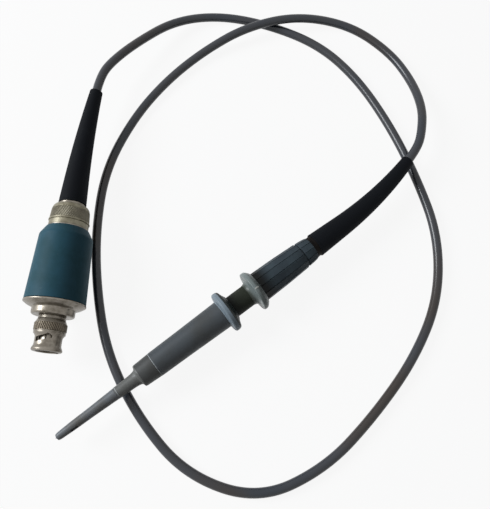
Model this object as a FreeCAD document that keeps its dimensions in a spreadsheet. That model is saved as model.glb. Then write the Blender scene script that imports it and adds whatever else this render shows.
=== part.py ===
# An oscilloscope probe: a probe head with a sprung tip sleeve, a coaxial lead, and a compensation box
# that ends in a bayonet plug. It lies on a table. Millimetres, +Z up, origin on the table under the
# middle of the rigid pieces.
import FreeCAD
import Part
import math
import os
from FreeCAD import Placement, Rotation, Vector
import Sketcher

SIZES = {
    # Where the two assemblies lie. Each axis is as high as its largest flange.
    "box_axis_x": -73.9,
    "box_mouth_y": -47.37,
    "box_heading": 90.0,
    "probe_nose_x": -64.1,
    "probe_nose_y": -82.67,
    "probe_heading": 42.0,
    # Fits that repeat
    "run_gap": 0.1,
    "face_gap": 0.05,
    # Coupling nut of the plug
    "nut_mouth_dia": 12.5,
    "nut_lip_dia": 13.7,
    "nut_lip_rise": 0.6,
    "nut_lip_fall": 2.0,
    "nut_band_dia": 11.9,
    "nut_band_length": 4.3,
    "nut_shoulder_length": 0.9,
    "nut_bead_dia": 14.0,
    "nut_bead_width": 0.45,
    "nut_bead_groove": 0.2,
    "nut_bead_groove_depth": 0.25,
    "nut_knurl_dia": 14.2,
    "nut_knurl_length": 3.4,
    "nut_rear_dia": 12.3,
    "nut_chamfer_length": 1.8,
    "nut_bore": 9.8,
    "nut_back_wall": 1.4,
    "nut_float": 0.8,
    "slot_count": 2,
    "slot_width": 2.2,
    "slot_face_turn": -14.0,
    "slot_reach": 3.1,
    "slot_entry_at": 4.8,
    "slot_end_at": 6.4,
    "slot_detent_dia": 2.4,
    "entry_groove_turn": -50.0,
    "entry_groove_depth": 0.7,
    # Plug body and its centre contact
    "contact_dia": 8.1,
    "contact_bore": 6.9,
    "contact_recess": 1.0,
    "contact_slit_count": 4,
    "contact_slit_width": 0.5,
    "contact_slit_length": 6.5,
    "stop_flange_length": 1.4,
    "shell_neck_dia": 8.0,
    "shell_tail_length": 3.6,
    "gasket_length": 1.4,
    "insulator_collar_length": 3.0,
    "insulator_sleeve_dia": 4.8,
    "insulator_sleeve_length": 6.0,
    "insulator_sleeve_bore": 2.2,
    "pin_dia": 1.35,
    "pin_recess": 1.9,
    "pin_tip_length": 0.9,
    "pin_front_length": 2.6,
    "pin_body_dia": 1.9,
    "wave_thickness": 0.2,
    "wave_count": 3,
    "thrust_washer_thickness": 0.4,
    # Base of the box
    "base_neck_dia": 12.3,
    "base_neck_length": 1.6,
    "base_neck_bead": 0.35,
    "base_step_dia": 19.2,
    "base_step_length": 3.3,
    "base_step_round": 0.8,
    "base_cone_length": 1.8,
    "base_cone_round": 7.2,
    "base_rim_dia": 27.8,
    "base_rim_length": 1.6,
    "base_rim_round": 0.4,
    "base_spigot_length": 5.0,
    "base_web_length": 1.2,
    # Compensation barrel
    "barrel_front_gap": 0.3,
    "barrel_front_step": 0.25,
    "barrel_rear_dia": 25.1,
    "barrel_length": 29.9,
    "barrel_bevel_length": 4.1,
    "barrel_bevel_dia": 19.4,
    "barrel_bore": 22.0,
    "barrel_back_wall": 2.4,
    "barrel_inner_cone_length": 2.9,
    "barrel_inner_cone_dia": 17.9,
    # Trimmer capacitor inside the barrel
    "trimmer_length": 18.0,
    "trimmer_offset": 3.0,
    "trimmer_sweep": 180.0,
    "dielectric_dia": 13.0,
    "stator_wall": 0.6,
    "trimmer_air_gap": 0.3,
    "rotor_wall": 0.8,
    "rotor_flange_length": 1.5,
    "resistor_dia": 3.2,
    "resistor_length": 10.0,
    "lead_dia": 0.7,
    "lead_length": 3.5,
    # Stem, lock washer and lock nut
    "stem_dia": 9.0,
    "stem_bore": 5.0,
    "stem_bore_step": 5.0,
    "stem_shoulder_dia": 15.0,
    "stem_shoulder_length": 1.3,
    "stem_thread_dia": 12.0,
    "lock_washer_dia": 18.6,
    "lock_washer_thickness": 0.5,
    "lock_travel": 1.2,
    "lock_front_dia": 18.8,
    "lock_dia": 19.2,
    "lock_edge": 0.4,
    "lock_band_length": 2.1,
    "lock_ring_length": 1.2,
    "lock_ring_groove": 0.2,
    "lock_knurl_length": 6.1,
    "lock_knurl_rear_dia": 18.2,
    "lock_top_length": 2.8,
    "lock_top_dia": 15.6,
    # Crimps and the lead
    "barb_dia": 5.6,
    "barb_bore": 3.0,
    "barb_length": 5.6,
    "ferrule_dia": 7.6,
    "ferrule_length": 6.0,
    "cable_dia": 4.4,
    "cable_core_dia": 2.6,
    "box_core_length": 20.0,
    "probe_core_length": 10.0,
    # Strain relief of the box
    "box_boot_base_dia": 14.7,
    "box_boot_end_dia": 6.4,
    "box_boot_lead": 2.0,
    "box_boot_arc": 51.5,
    "box_boot_turn": -4.5,
    "boot_bore_gap": 0.05,
    # Hook
    "hook_wire_dia": 0.6,
    "hook_bend": 0.5,
    "hook_reach": 0.6,
    "hook_return": 1.0,
    "hook_root": 4.0,
    "rod_dia": 2.4,
    "rod_length": 34.0,
    # Nose
    "nose_front_dia": 2.6,
    "nose_head_dia": 3.5,
    "nose_head_length": 2.4,
    "nose_neck_dia": 4.05,
    "nose_neck_at": 8.0,
    "nose_waist_dia": 4.4,
    "nose_waist_at": 17.2,
    "nose_tip_dia": 5.4,
    "nose_tip_length": 30.5,
    "nose_bore": 1.9,
    "nose_bore_length": 12.4,
    "nose_slot_at": 6.3,
    "nose_slot_length": 3.6,
    "nose_slot_width": 1.3,
    "nose_spigot_dia": 4.0,
    "nose_spigot_length": 4.5,
    "nose_base_length": 12.8,
    "nose_shank_length": 8.5,
    "nose_shank_dia": 6.0,
    "flare_start_length": 1.7,
    "flare_start_dia": 6.5,
    "flare_dia": 10.4,
    "flare_rise_length": 2.0,
    "flare_rise_round": 4.0,
    "flare_edge_dia": 10.85,
    "nose_cup_dia": 8.0,
    "nose_cup_wall": 0.7,
    "nose_cup_length": 10.7,
    "collar_length": 6.6,
    "collar_front_dia": 10.9,
    "collar_rear_dia": 11.6,
    # Tip sleeve
    "sleeve_front_dia": 11.7,
    "sleeve_mid_dia": 12.3,
    "sleeve_mid_at": 16.9,
    "sleeve_rear_dia": 13.3,
    "sleeve_length": 38.9,
    "sleeve_edge": 0.3,
    "flange_dia": 20.4,
    "flange_rise": 1.0,
    "flange_rim": 1.0,
    "flange_edge_dia": 19.0,
    "sleeve_flare_length": 2.9,
    "sleeve_flare_round": 5.8,
    "sleeve_end_dia": 11.4,
    "sleeve_bore": 10.5,
    "partition_at": 8.1,
    "partition_length": 2.0,
    "tip_travel": 9.0,
    # Core, retaining ring and spring
    "core_stem_dia": 6.0,
    "core_front_gap": 0.5,
    "ring_dia": 7.6,
    "ring_seat_dia": 5.2,
    "ring_length": 1.0,
    "spring_wire_dia": 0.6,
    "spring_dia": 8.2,
    "spring_turns": 8,
    "spring_length": 15.0,
    "core_dia": 10.3,
    "core_play": 0.2,
    "socket_dia": 4.0,
    "socket_length": 22.0,
    "socket_depth": 3.0,
    # Probe body
    "tube_dia": 9.0,
    "tube_bore": 6.0,
    "tube_spigot_dia": 7.4,
    "tube_spigot_length": 11.0,
    "guard_hub_dia": 11.5,
    "guard_hub_length": 0.8,
    "guard_rise_length": 1.9,
    "guard_rise_round": 5.7,
    "guard_rim_length": 0.6,
    "guard_edge_length": 0.4,
    "guard_edge_dia": 19.4,
    "guard_back_length": 2.4,
    "guard_back_dia": 14.9,
    "insulator_length": 8.0,
    "contact_pin_dia": 1.6,
    "contact_pin_length": 34.0,
    "contact_pin_reach": 9.0,
    "divider_length": 18.0,
    "divider_resistor_dia": 3.0,
    "grip_sides": 12,
    "grip_turn": 13.4,
    "grip_front_dia": 14.6,
    "grip_mid_dia": 14.05,
    "grip_mid_at": 12.5,
    "grip_rear_dia": 12.8,
    "grip_length": 25.2,
    "grip_groove_width": 0.35,
    "grip_groove_depth": 0.3,
    "grip_nut_gap": 0.6,
    "grip_nut_neck_dia": 11.4,
    "grip_nut_front_dia": 12.5,
    "grip_nut_rear_dia": 11.6,
    "grip_nut_length": 6.1,
    "gland_wall": 0.95,
    "gland_length": 2.2,
    # Strain relief of the probe head
    "probe_boot_base_dia": 11.6,
    "probe_boot_end_dia": 6.2,
    "probe_boot_lead": 10.0,
    "probe_boot_arc": 48.5,
    "probe_boot_turn": 15.0,
}

# The lead's route over the table between its two strain reliefs. Its first and last points are the
# middles of their end faces.
CABLE_ROUTE = [
    (-71.2, 91.8, 13.9),
    (-67.5, 100.7, 13.6),
    (-56.8, 115.4, 11.0),
    (-39.4, 134.7, 5.6),
    (-15.7, 142.6, 2.25),
    (12.3, 138.6, 2.25),
    (39.6, 128.1, 2.25),
    (60.3, 109.2, 2.25),
    (77.8, 82.9, 2.25),
    (91.3, 55.2, 2.25),
    (101.8, 26.0, 2.25),
    (101.8, -6.0, 2.25),
    (90.8, -34.8, 2.25),
    (72.8, -62.0, 2.25),
    (52.4, -85.7, 2.25),
    (24.1, -101.2, 2.25),
    (-8.3, -93.6, 2.25),
    (-31.9, -71.7, 2.25),
    (-49.9, -44.9, 2.25),
    (-59.4, -14.7, 2.25),
    (-64.4, 15.4, 2.25),
    (-64.3, 46.9, 2.25),
    (-53.8, 77.2, 2.25),
    (-39.4, 100.5, 2.25),
    (-21.6, 119.2, 3.2),
    (-0.3, 132.8, 7.3),
    (26.3, 142.1, 7.3),
    (55.3, 142.3, 2.25),
    (77.1, 126.9, 2.25),
    (88.3, 109.2, 4.0),
    (92.8, 91.2, 8.3),
    (91.9, 76.2, 10.0),
    (89.6, 67.2, 10.2),
]
ROUTE_ROUNDING = 0.45
BEAD_COUNT = 2
WAVE_POINTS = 36
SLEEVE_RINGS = 7
PASSAGE_RINGS = 5


class Size:
    """A length or angle: its value now, and the formula that ties it to the sheet."""

    def __init__(self, value, formula):
        self.value = value
        self.formula = formula

    @staticmethod
    def of(number):
        return number if isinstance(number, Size) else Size(float(number), repr(number))

    def _join(self, sign, other, value):
        return Size(value, "(" + self.formula + " " + sign + " " + other.formula + ")")

    def __add__(self, other):
        other = Size.of(other)
        return self._join("+", other, self.value + other.value)

    def __sub__(self, other):
        other = Size.of(other)
        return self._join("-", other, self.value - other.value)

    def __mul__(self, other):
        other = Size.of(other)
        return self._join("*", other, self.value * other.value)

    def __truediv__(self, other):
        other = Size.of(other)
        return self._join("/", other, self.value / other.value)

    def __radd__(self, other):
        return Size.of(other) + self

    def __rsub__(self, other):
        return Size.of(other) - self

    def __rmul__(self, other):
        return Size.of(other) * self

    def __neg__(self):
        return Size(-self.value, "(0 - " + self.formula + ")")


def sine(angle):
    return Size(math.sin(math.radians(angle.value)), "sin(" + angle.formula + ")")


def cosine(angle):
    return Size(math.cos(math.radians(angle.value)), "cos(" + angle.formula + ")")


def make_sheet(doc):
    """Write every driving dimension into a spreadsheet, one aliased cell each."""
    sheet = doc.addObject("Spreadsheet::Sheet", "Sizes")
    for row, (name, value) in enumerate(SIZES.items(), start=1):
        sheet.set("A" + str(row), name)
        sheet.set("B" + str(row), str(value))
        sheet.setAlias("B" + str(row), name)
    doc.recompute()
    return sheet


class SheetSizes:
    """The sheet's cells, read by name as sizes."""

    def __init__(self, sheet):
        self._sheet = sheet

    def __getattr__(self, name):
        return Size(float(self._sheet.get(name)), "Sizes." + name)


doc = FreeCAD.newDocument("OscilloscopeProbe")
size = SheetSizes(make_sheet(doc))
pieces = []


# Frames of the two assemblies: local X runs along each axis, from the mouth or the nose to the lead.
class Line:
    """An assembly's axis, which places every piece that is drawn along it."""

    def __init__(self, origin, heading):
        self.origin = origin
        self.heading = heading

    def place(self, item):
        """Put a document object on the line and tie its placement to the sheet."""
        base = Vector(*[part.value for part in self.origin])
        item.Placement = Placement(base, Rotation(Vector(0, 0, 1), self.heading.value))
        for axis, part in zip("xyz", self.origin):
            item.setExpression("Placement.Base." + axis, part.formula)
        item.setExpression("Placement.Rotation.Angle", self.heading.formula)

    def placement(self):
        base = Vector(*[part.value for part in self.origin])
        return Placement(base, Rotation(Vector(0, 0, 1), self.heading.value))


box_line = Line((size.box_axis_x, size.box_mouth_y, size.base_rim_dia / 2), size.box_heading)
probe_line = Line((size.probe_nose_x, size.probe_nose_y, size.flange_dia / 2), size.probe_heading)


def bend(radius, side):
    """An arc of a profile between the points beside it. Side 1 bulges outwards, -1 inwards."""
    return ("bend", radius, side)


def draw(sketch, profile):
    """Draw a closed profile of (along, out) sizes, and dimension every corner from the origin."""
    corners = [item for item in profile if item[0] != "bend"]
    arcs = {}
    for index, item in enumerate(profile):
        if item[0] == "bend":
            arcs[len([other for other in profile[:index] if other[0] != "bend"]) - 1] = item
    corners = [(Size.of(along), Size.of(out)) for along, out in corners]
    points = [Vector(along.value, out.value, 0) for along, out in corners]
    starts = []
    ends = []
    for index, start in enumerate(points):
        end = points[(index + 1) % len(points)]
        if index in arcs:
            radius = Size.of(arcs[index][1])
            side = arcs[index][2]
            chord = end - start
            half = chord.Length / 2
            rise = radius.value - math.sqrt(radius.value ** 2 - half ** 2)
            normal = Vector(-chord.y, chord.x, 0).normalize()
            middle = (start + end) / 2 + normal * (rise * side)
            edge = sketch.addGeometry(Part.Arc(start, middle, end), False)
            first_is_start = sketch.getPoint(edge, 1).distanceToPoint(start) < sketch.getPoint(
                edge, 1).distanceToPoint(end)
            starts.append((edge, 1 if first_is_start else 2))
            ends.append((edge, 2 if first_is_start else 1))
            limit = sketch.addConstraint(Sketcher.Constraint("Radius", edge, radius.value))
            sketch.setExpression("Constraints[%d]" % limit, radius.formula)
        else:
            edge = sketch.addGeometry(Part.LineSegment(start, end), False)
            starts.append((edge, 1))
            ends.append((edge, 2))
    for index in range(len(points)):
        following = (index + 1) % len(points)
        sketch.addConstraint(Sketcher.Constraint("Coincident", *ends[index], *starts[following]))
    for index, (along, out) in enumerate(corners):
        for kind, part, axis in (("DistanceX", along, -2), ("DistanceY", out, -1)):
            if part.formula in ("0", "0.0"):
                sketch.addConstraint(Sketcher.Constraint("PointOnObject", *starts[index], axis))
                continue
            limit = sketch.addConstraint(Sketcher.Constraint(kind, -1, 1, *starts[index], part.value))
            sketch.setExpression("Constraints[%d]" % limit, part.formula)


class Piece:
    """One physical piece, made as a body on its assembly's line."""

    def __init__(self, label, line):
        self.body = doc.addObject("PartDesign::Body", label)
        self.body.Label = label
        line.place(self.body)
        pieces.append(self.body)

    def sketch(self, name, role="XZ_Plane", turn=None, lift=None):
        """A sketch on one of the body's own planes, turned about its X axis and lifted off it."""
        sketch = self.body.newObject("Sketcher::SketchObject", self.body.Label + "_" + name)
        plane = [item for item in self.body.Origin.OriginFeatures if item.Role == role][0]
        sketch.AttachmentSupport = [(plane, "")]
        sketch.MapMode = "FlatFace"
        if turn is not None:
            spin = Rotation(Vector(1, 0, 0), turn.value)
            sketch.AttachmentOffset = Placement(Vector(0, 0, 0), spin)
            sketch.setExpression("AttachmentOffset.Rotation.Angle", turn.formula)
        if lift is not None:
            sketch.AttachmentOffset = Placement(Vector(0, 0, lift.value), Rotation())
            sketch.setExpression("AttachmentOffset.Base.z", lift.formula)
        return sketch

    def turned(self, name, profile, sweep=None):
        """Turn a profile round the line's axis, as on a lathe."""
        sketch = self.sketch(name)
        draw(sketch, profile)
        feature = self.body.newObject("PartDesign::Revolution", self.body.Label + "_" + name + "_turned")
        feature.Profile = sketch
        feature.ReferenceAxis = (sketch, ["H_Axis"])
        feature.Angle = 360
        if sweep is not None:
            feature.Angle = sweep.value
            feature.setExpression("Angle", sweep.formula)
        sketch.Visibility = False
        self.body.Tip = feature
        doc.recompute()
        return feature

    def cut(self, sketch, length, both_sides=False, backwards=False):
        """Cut a sketch's outline through the piece, and make sure that it removes material."""
        before = self.body.Shape.Volume
        feature = self.body.newObject("PartDesign::Pocket", sketch.Label + "_cut")
        feature.Profile = sketch
        feature.Midplane = both_sides
        feature.Reversed = backwards
        feature.Length = length.value
        feature.setExpression("Length", length.formula)
        sketch.Visibility = False
        self.body.Tip = feature
        doc.recompute()
        if self.body.Shape.Volume > before - 1e-6:
            raise ValueError(sketch.Label + " cuts nothing")
        return feature

    def repeat(self, features, count):
        """Repeat features evenly round the line's axis."""
        axis = [item for item in self.body.Origin.OriginFeatures if item.Role == "X_Axis"][0]
        pattern = self.body.newObject("PartDesign::PolarPattern", self.body.Label + "_pattern")
        pattern.Originals = features
        pattern.Axis = (axis, [""])
        pattern.Angle = 360
        pattern.Occurrences = int(count.value)
        pattern.setExpression("Occurrences", count.formula)
        self.body.Tip = pattern
        doc.recompute()
        return pattern


def ring(start, end, inner, outer):
    """The profile of a plain ring or tube, from its ends and its two radii."""
    return [(start, inner), (start, outer), (end, outer), (end, inner)]


def rod(start, end, radius):
    """The profile of a solid rod."""
    return ring(start, end, 0, radius)


# Coupling nut of the plug: rolled lip, plain band, two beads, knurled ring and a chamfer behind it.
lip_peak = size.nut_lip_rise
band_start = lip_peak + size.nut_lip_fall
band_end = band_start + size.nut_band_length
beads_start = band_end + size.nut_shoulder_length
bead_pitch = size.nut_bead_width + size.nut_bead_groove
knurl_start = beads_start + bead_pitch * BEAD_COUNT
knurl_end = knurl_start + size.nut_knurl_length
nut_end = knurl_end + size.nut_chamfer_length
nut_wall = nut_end - size.nut_back_wall
nut_hole = size.shell_neck_dia / 2 + size.run_gap


def bead_profile(start, count, width, groove, radius, depth):
    """Outer corners of narrow rings in a row, each followed by a groove."""
    corners = []
    for index in range(count):
        left = start + (width + groove) * index
        corners += [(left, radius), (left + width, radius)]
        corners += [(left + width, radius - depth), (left + width + groove, radius - depth)]
    return corners


def make_nut():
    nut = Piece("bnc_nut", box_line)
    bore = size.nut_bore / 2
    beads = bead_profile(beads_start, BEAD_COUNT, size.nut_bead_width, size.nut_bead_groove,
                         size.nut_bead_dia / 2, size.nut_bead_groove_depth)
    nut.turned("wall", [
        (0, bore + size.nut_bead_groove), (0, size.nut_mouth_dia / 2), (lip_peak, size.nut_lip_dia / 2),
        (band_start, size.nut_band_dia / 2), (band_end, size.nut_band_dia / 2), *beads,
        (knurl_start, size.nut_knurl_dia / 2), (knurl_end, size.nut_knurl_dia / 2),
        (nut_end, size.nut_rear_dia / 2), (nut_end, nut_hole), (nut_wall, nut_hole), (nut_wall, bore),
        (size.nut_bead_groove, bore)])
    slot = nut.sketch("slot", "XY_Plane", turn=size.slot_face_turn)
    half = size.slot_width / 2
    draw(slot, [(size.slot_entry_at - half, size.slot_reach), (size.slot_entry_at + half, size.slot_reach),
                (size.slot_end_at + half, -size.slot_reach), (size.slot_end_at - half, -size.slot_reach)])
    slot_cut = nut.cut(slot, size.nut_lip_dia, backwards=True)
    detent = nut.sketch("detent", "XY_Plane", turn=size.slot_face_turn)
    circle = detent.addGeometry(Part.Circle(Vector(size.slot_end_at.value, -size.slot_reach.value, 0),
                                            Vector(0, 0, 1), size.slot_detent_dia.value / 2), False)
    for kind, part in (("DistanceX", size.slot_end_at), ("DistanceY", -size.slot_reach)):
        limit = detent.addConstraint(Sketcher.Constraint(kind, -1, 1, circle, 3, part.value))
        detent.setExpression("Constraints[%d]" % limit, part.formula)
    limit = detent.addConstraint(Sketcher.Constraint("Diameter", circle, size.slot_detent_dia.value))
    detent.setExpression("Constraints[%d]" % limit, size.slot_detent_dia.formula)
    detent_cut = nut.cut(detent, size.nut_lip_dia, backwards=True)
    entry = nut.sketch("entry", "XY_Plane", turn=size.entry_groove_turn)
    draw(entry, [(0, -half), (0, half), (size.slot_entry_at, half), (size.slot_entry_at, -half)])
    entry_cut = nut.cut(entry, bore + size.entry_groove_depth, backwards=True)
    nut.repeat([slot_cut, detent_cut, entry_cut], size.slot_count)


# Plug body. The wave washer pushes the nut back from the stop flange, through the thrust washer.
thrust_start = nut_wall - size.thrust_washer_thickness
flange_end = thrust_start - size.nut_float - size.wave_thickness
flange_start = flange_end - size.stop_flange_length
neck_start = nut_end + size.face_gap
shell_end = neck_start + size.shell_tail_length


def make_shell():
    shell = Piece("bnc_shell", box_line)
    bore = size.contact_bore / 2
    flange = size.nut_bore / 2 - size.run_gap
    shell.turned("tube", [
        (size.contact_recess, bore), (size.contact_recess, size.contact_dia / 2),
        (flange_start, size.contact_dia / 2), (flange_start, flange), (flange_end, flange),
        (flange_end, size.shell_neck_dia / 2), (shell_end, size.shell_neck_dia / 2), (shell_end, bore)])
    slit = shell.sketch("slit", "XY_Plane")
    half = size.contact_slit_width / 2
    slit_end = size.contact_recess + size.contact_slit_length
    draw(slit, [(0, -half), (0, half), (slit_end, half), (slit_end, -half)])
    slit_cut = shell.cut(slit, size.contact_dia, backwards=True)
    shell.repeat([slit_cut], size.contact_slit_count)


def make_plug_inner_pieces():
    gasket = Piece("bnc_gasket", box_line)
    gasket.turned("ring", ring(flange_start - size.gasket_length, flange_start,
                               size.contact_dia / 2, size.nut_bore / 2 - size.run_gap * 2))
    insulator = Piece("bnc_insulator", box_line)
    collar_start = shell_end - size.insulator_collar_length
    sleeve_start = flange_end - size.insulator_sleeve_length
    pin = size.pin_dia / 2
    pin_body = size.pin_body_dia / 2
    insulator.turned("sleeve", [
        (sleeve_start, size.insulator_sleeve_bore / 2), (sleeve_start, size.insulator_sleeve_dia / 2),
        (flange_end, size.insulator_sleeve_dia / 2), (flange_end, size.contact_bore / 2),
        (shell_end, size.contact_bore / 2), (shell_end, pin_body), (collar_start, pin_body),
        (collar_start, size.insulator_sleeve_bore / 2)])
    centre = Piece("bnc_pin", box_line)
    tip_end = size.pin_recess + size.pin_tip_length
    front_end = tip_end + size.pin_front_length
    centre.turned("shaft", [
        (size.pin_recess, 0), (size.pin_recess, pin / 2), (tip_end, pin), (front_end, pin),
        (front_end, pin_body), (box_lead_start, pin_body), (box_lead_start, 0)])
    washer = Piece("bnc_thrust_washer", box_line)
    washer.turned("ring", ring(thrust_start, nut_wall, nut_hole, size.nut_bore / 2 - size.run_gap))


def make_wave_washer():
    """A spring washer whose faces wave round the axis, between the stop flange and thrust washer."""
    swing = (thrust_start.value - flange_end.value - size.wave_thickness.value) / 2
    middle = flange_end.value + swing
    edges = []
    for radius in (nut_hole.value, size.nut_bore.value / 2 - size.run_gap.value * 2):
        points = []
        for step in range(WAVE_POINTS):
            angle = 2 * math.pi * step / WAVE_POINTS
            along = middle + swing * math.cos(size.wave_count.value * angle)
            points.append(Vector(along, radius * math.cos(angle), radius * math.sin(angle)))
        curve = Part.BSplineCurve()
        curve.interpolate(points, PeriodicFlag=True)
        edges.append(curve.toShape())
    face = Part.makeRuledSurface(edges[0], edges[1])
    washer = doc.addObject("Part::Feature", "bnc_wave_washer")
    washer.Shape = face.extrude(Vector(size.wave_thickness.value, 0, 0))
    washer.Label = "bnc_wave_washer"
    box_line.place(washer)
    pieces.append(washer)


# Base of the box: neck, step, cone and rim, and the spigot on which the barrel turns.
step_start = neck_start + size.base_neck_length
step_end = step_start + size.base_step_length
rim_start = step_end + size.base_cone_length
rim_end = rim_start + size.base_rim_length
barrel_start = rim_end + size.barrel_front_gap
spigot_end = rim_end + size.base_spigot_length
web_end = shell_end + size.base_web_length
stem_start = web_end
bevel_start = barrel_start + size.barrel_length
barrel_end = bevel_start + size.barrel_bevel_length
shoulder_end = barrel_end - size.barrel_back_wall
shoulder_start = shoulder_end - size.stem_shoulder_length
washer_start = barrel_end + size.face_gap
lock_start = washer_start + size.lock_washer_thickness
lock_band_end = lock_start + size.lock_edge + size.lock_band_length
lock_ring_end = lock_band_end + size.lock_ring_length
lock_knurl_end = lock_ring_end + size.lock_knurl_length
lock_end = lock_knurl_end + size.lock_top_length
box_boot_start = lock_end + size.lock_travel
trimmer_start = barrel_start + size.trimmer_offset + size.base_spigot_length
trimmer_end = trimmer_start + size.trimmer_length
box_lead_start = stem_start + size.resistor_dia / 2
box_resistor_start = box_lead_start + size.lead_length


def make_base():
    base = Piece("box_base", box_line)
    neck = size.base_neck_dia / 2
    step = size.base_step_dia / 2
    rim = size.base_rim_dia / 2
    spigot = size.barrel_bore / 2 - size.run_gap
    pin_hole = size.pin_body_dia / 2 + size.run_gap * 2
    beads = bead_profile(neck_start, BEAD_COUNT, size.base_neck_bead, size.base_neck_bead, neck,
                         size.base_neck_bead / 2)
    base.turned("body", [
        (neck_start, size.shell_neck_dia / 2), *beads,
        (step_start, neck - size.base_neck_bead), (step_start, step - size.base_step_round),
        bend(size.base_step_round, 1), (step_start + size.base_step_round, step), (step_end, step),
        bend(size.base_cone_round, -1), (rim_start, rim - size.base_rim_round),
        bend(size.base_rim_round, 1), (rim_start + size.base_rim_round, rim), (rim_end, rim),
        (rim_end, spigot), (spigot_end, spigot), (spigot_end, size.stem_dia / 2),
        (stem_start, size.stem_dia / 2), (stem_start, pin_hole), (shell_end, pin_hole),
        (shell_end, size.shell_neck_dia / 2)])


def make_barrel():
    barrel = Piece("box_barrel", box_line)
    bore = size.barrel_bore / 2
    hole = size.stem_thread_dia / 2 + size.run_gap
    barrel.turned("wall", [
        (barrel_start, bore), (barrel_start, size.base_rim_dia / 2 - size.barrel_front_step),
        (bevel_start, size.barrel_rear_dia / 2), (barrel_end, size.barrel_bevel_dia / 2),
        (barrel_end, hole), (shoulder_end, hole), (shoulder_end, size.barrel_inner_cone_dia / 2),
        (shoulder_end - size.barrel_inner_cone_length, bore)])


def make_trimmer():
    """The capacitor that the barrel turns: a fixed and a turning half tube round the stem."""
    sleeve = Piece("comp_dielectric", box_line)
    sleeve.turned("tube", ring(trimmer_start, trimmer_end, size.stem_dia / 2, size.dielectric_dia / 2))
    stator_out = size.dielectric_dia / 2 + size.stator_wall
    stator = Piece("comp_stator", box_line)
    stator.turned("shell", ring(trimmer_start, trimmer_end, size.dielectric_dia / 2, stator_out),
                  size.trimmer_sweep)
    rotor_in = stator_out + size.trimmer_air_gap
    rotor_out = rotor_in + size.rotor_wall
    rotor = Piece("comp_rotor", box_line)
    rotor.turned("flange", ring(trimmer_end, trimmer_end + size.rotor_flange_length, rotor_in,
                                size.barrel_bore / 2))
    rotor.turned("shell", ring(trimmer_start, trimmer_end + size.rotor_flange_length / 2, rotor_in,
                               rotor_out), size.trimmer_sweep)
    resistor = Piece("comp_resistor", box_line)
    resistor_end = box_resistor_start + size.resistor_length
    resistor.turned("body", [
        (box_lead_start, 0), (box_lead_start, size.lead_dia / 2), (box_resistor_start, size.lead_dia / 2),
        (box_resistor_start, size.resistor_dia / 2), (resistor_end, size.resistor_dia / 2),
        (resistor_end, size.lead_dia / 2), (resistor_end + size.lead_length, size.lead_dia / 2),
        (resistor_end + size.lead_length, 0)])


def make_stem_and_lock():
    stem = Piece("box_stem", box_line)
    thread = size.stem_thread_dia / 2
    barb_end = box_boot_start + size.barb_length
    bore_end = box_boot_start - size.stem_bore_step
    stem.turned("tube", [
        (stem_start, size.stem_bore / 2), (stem_start, size.stem_dia / 2),
        (shoulder_start, size.stem_dia / 2), (shoulder_start, size.stem_shoulder_dia / 2),
        (shoulder_end, size.stem_shoulder_dia / 2), (shoulder_end, thread), (box_boot_start, thread),
        (box_boot_start, size.barb_dia / 2), (barb_end, size.barb_dia / 2), (barb_end, size.barb_bore / 2),
        (bore_end, size.barb_bore / 2), (bore_end, size.stem_bore / 2)])
    washer = Piece("lock_washer", box_line)
    washer.turned("ring", ring(washer_start, lock_start, thread + size.run_gap,
                               size.lock_washer_dia / 2))
    nut = Piece("lock_nut", box_line)
    radius = size.lock_dia / 2
    groove = radius - size.lock_ring_groove
    nut.turned("wall", [
        (lock_start, thread + size.run_gap), (lock_start, size.lock_front_dia / 2),
        (lock_start + size.lock_edge, radius), (lock_band_end, radius), (lock_band_end, groove),
        (lock_band_end + size.lock_ring_groove, groove), (lock_band_end + size.lock_ring_groove, radius),
        (lock_ring_end - size.lock_ring_groove, radius), (lock_ring_end - size.lock_ring_groove, groove),
        (lock_ring_end, groove), (lock_ring_end, radius), (lock_knurl_end, size.lock_knurl_rear_dia / 2),
        (lock_end, size.lock_top_dia / 2), (lock_end, thread + size.run_gap)])


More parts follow.
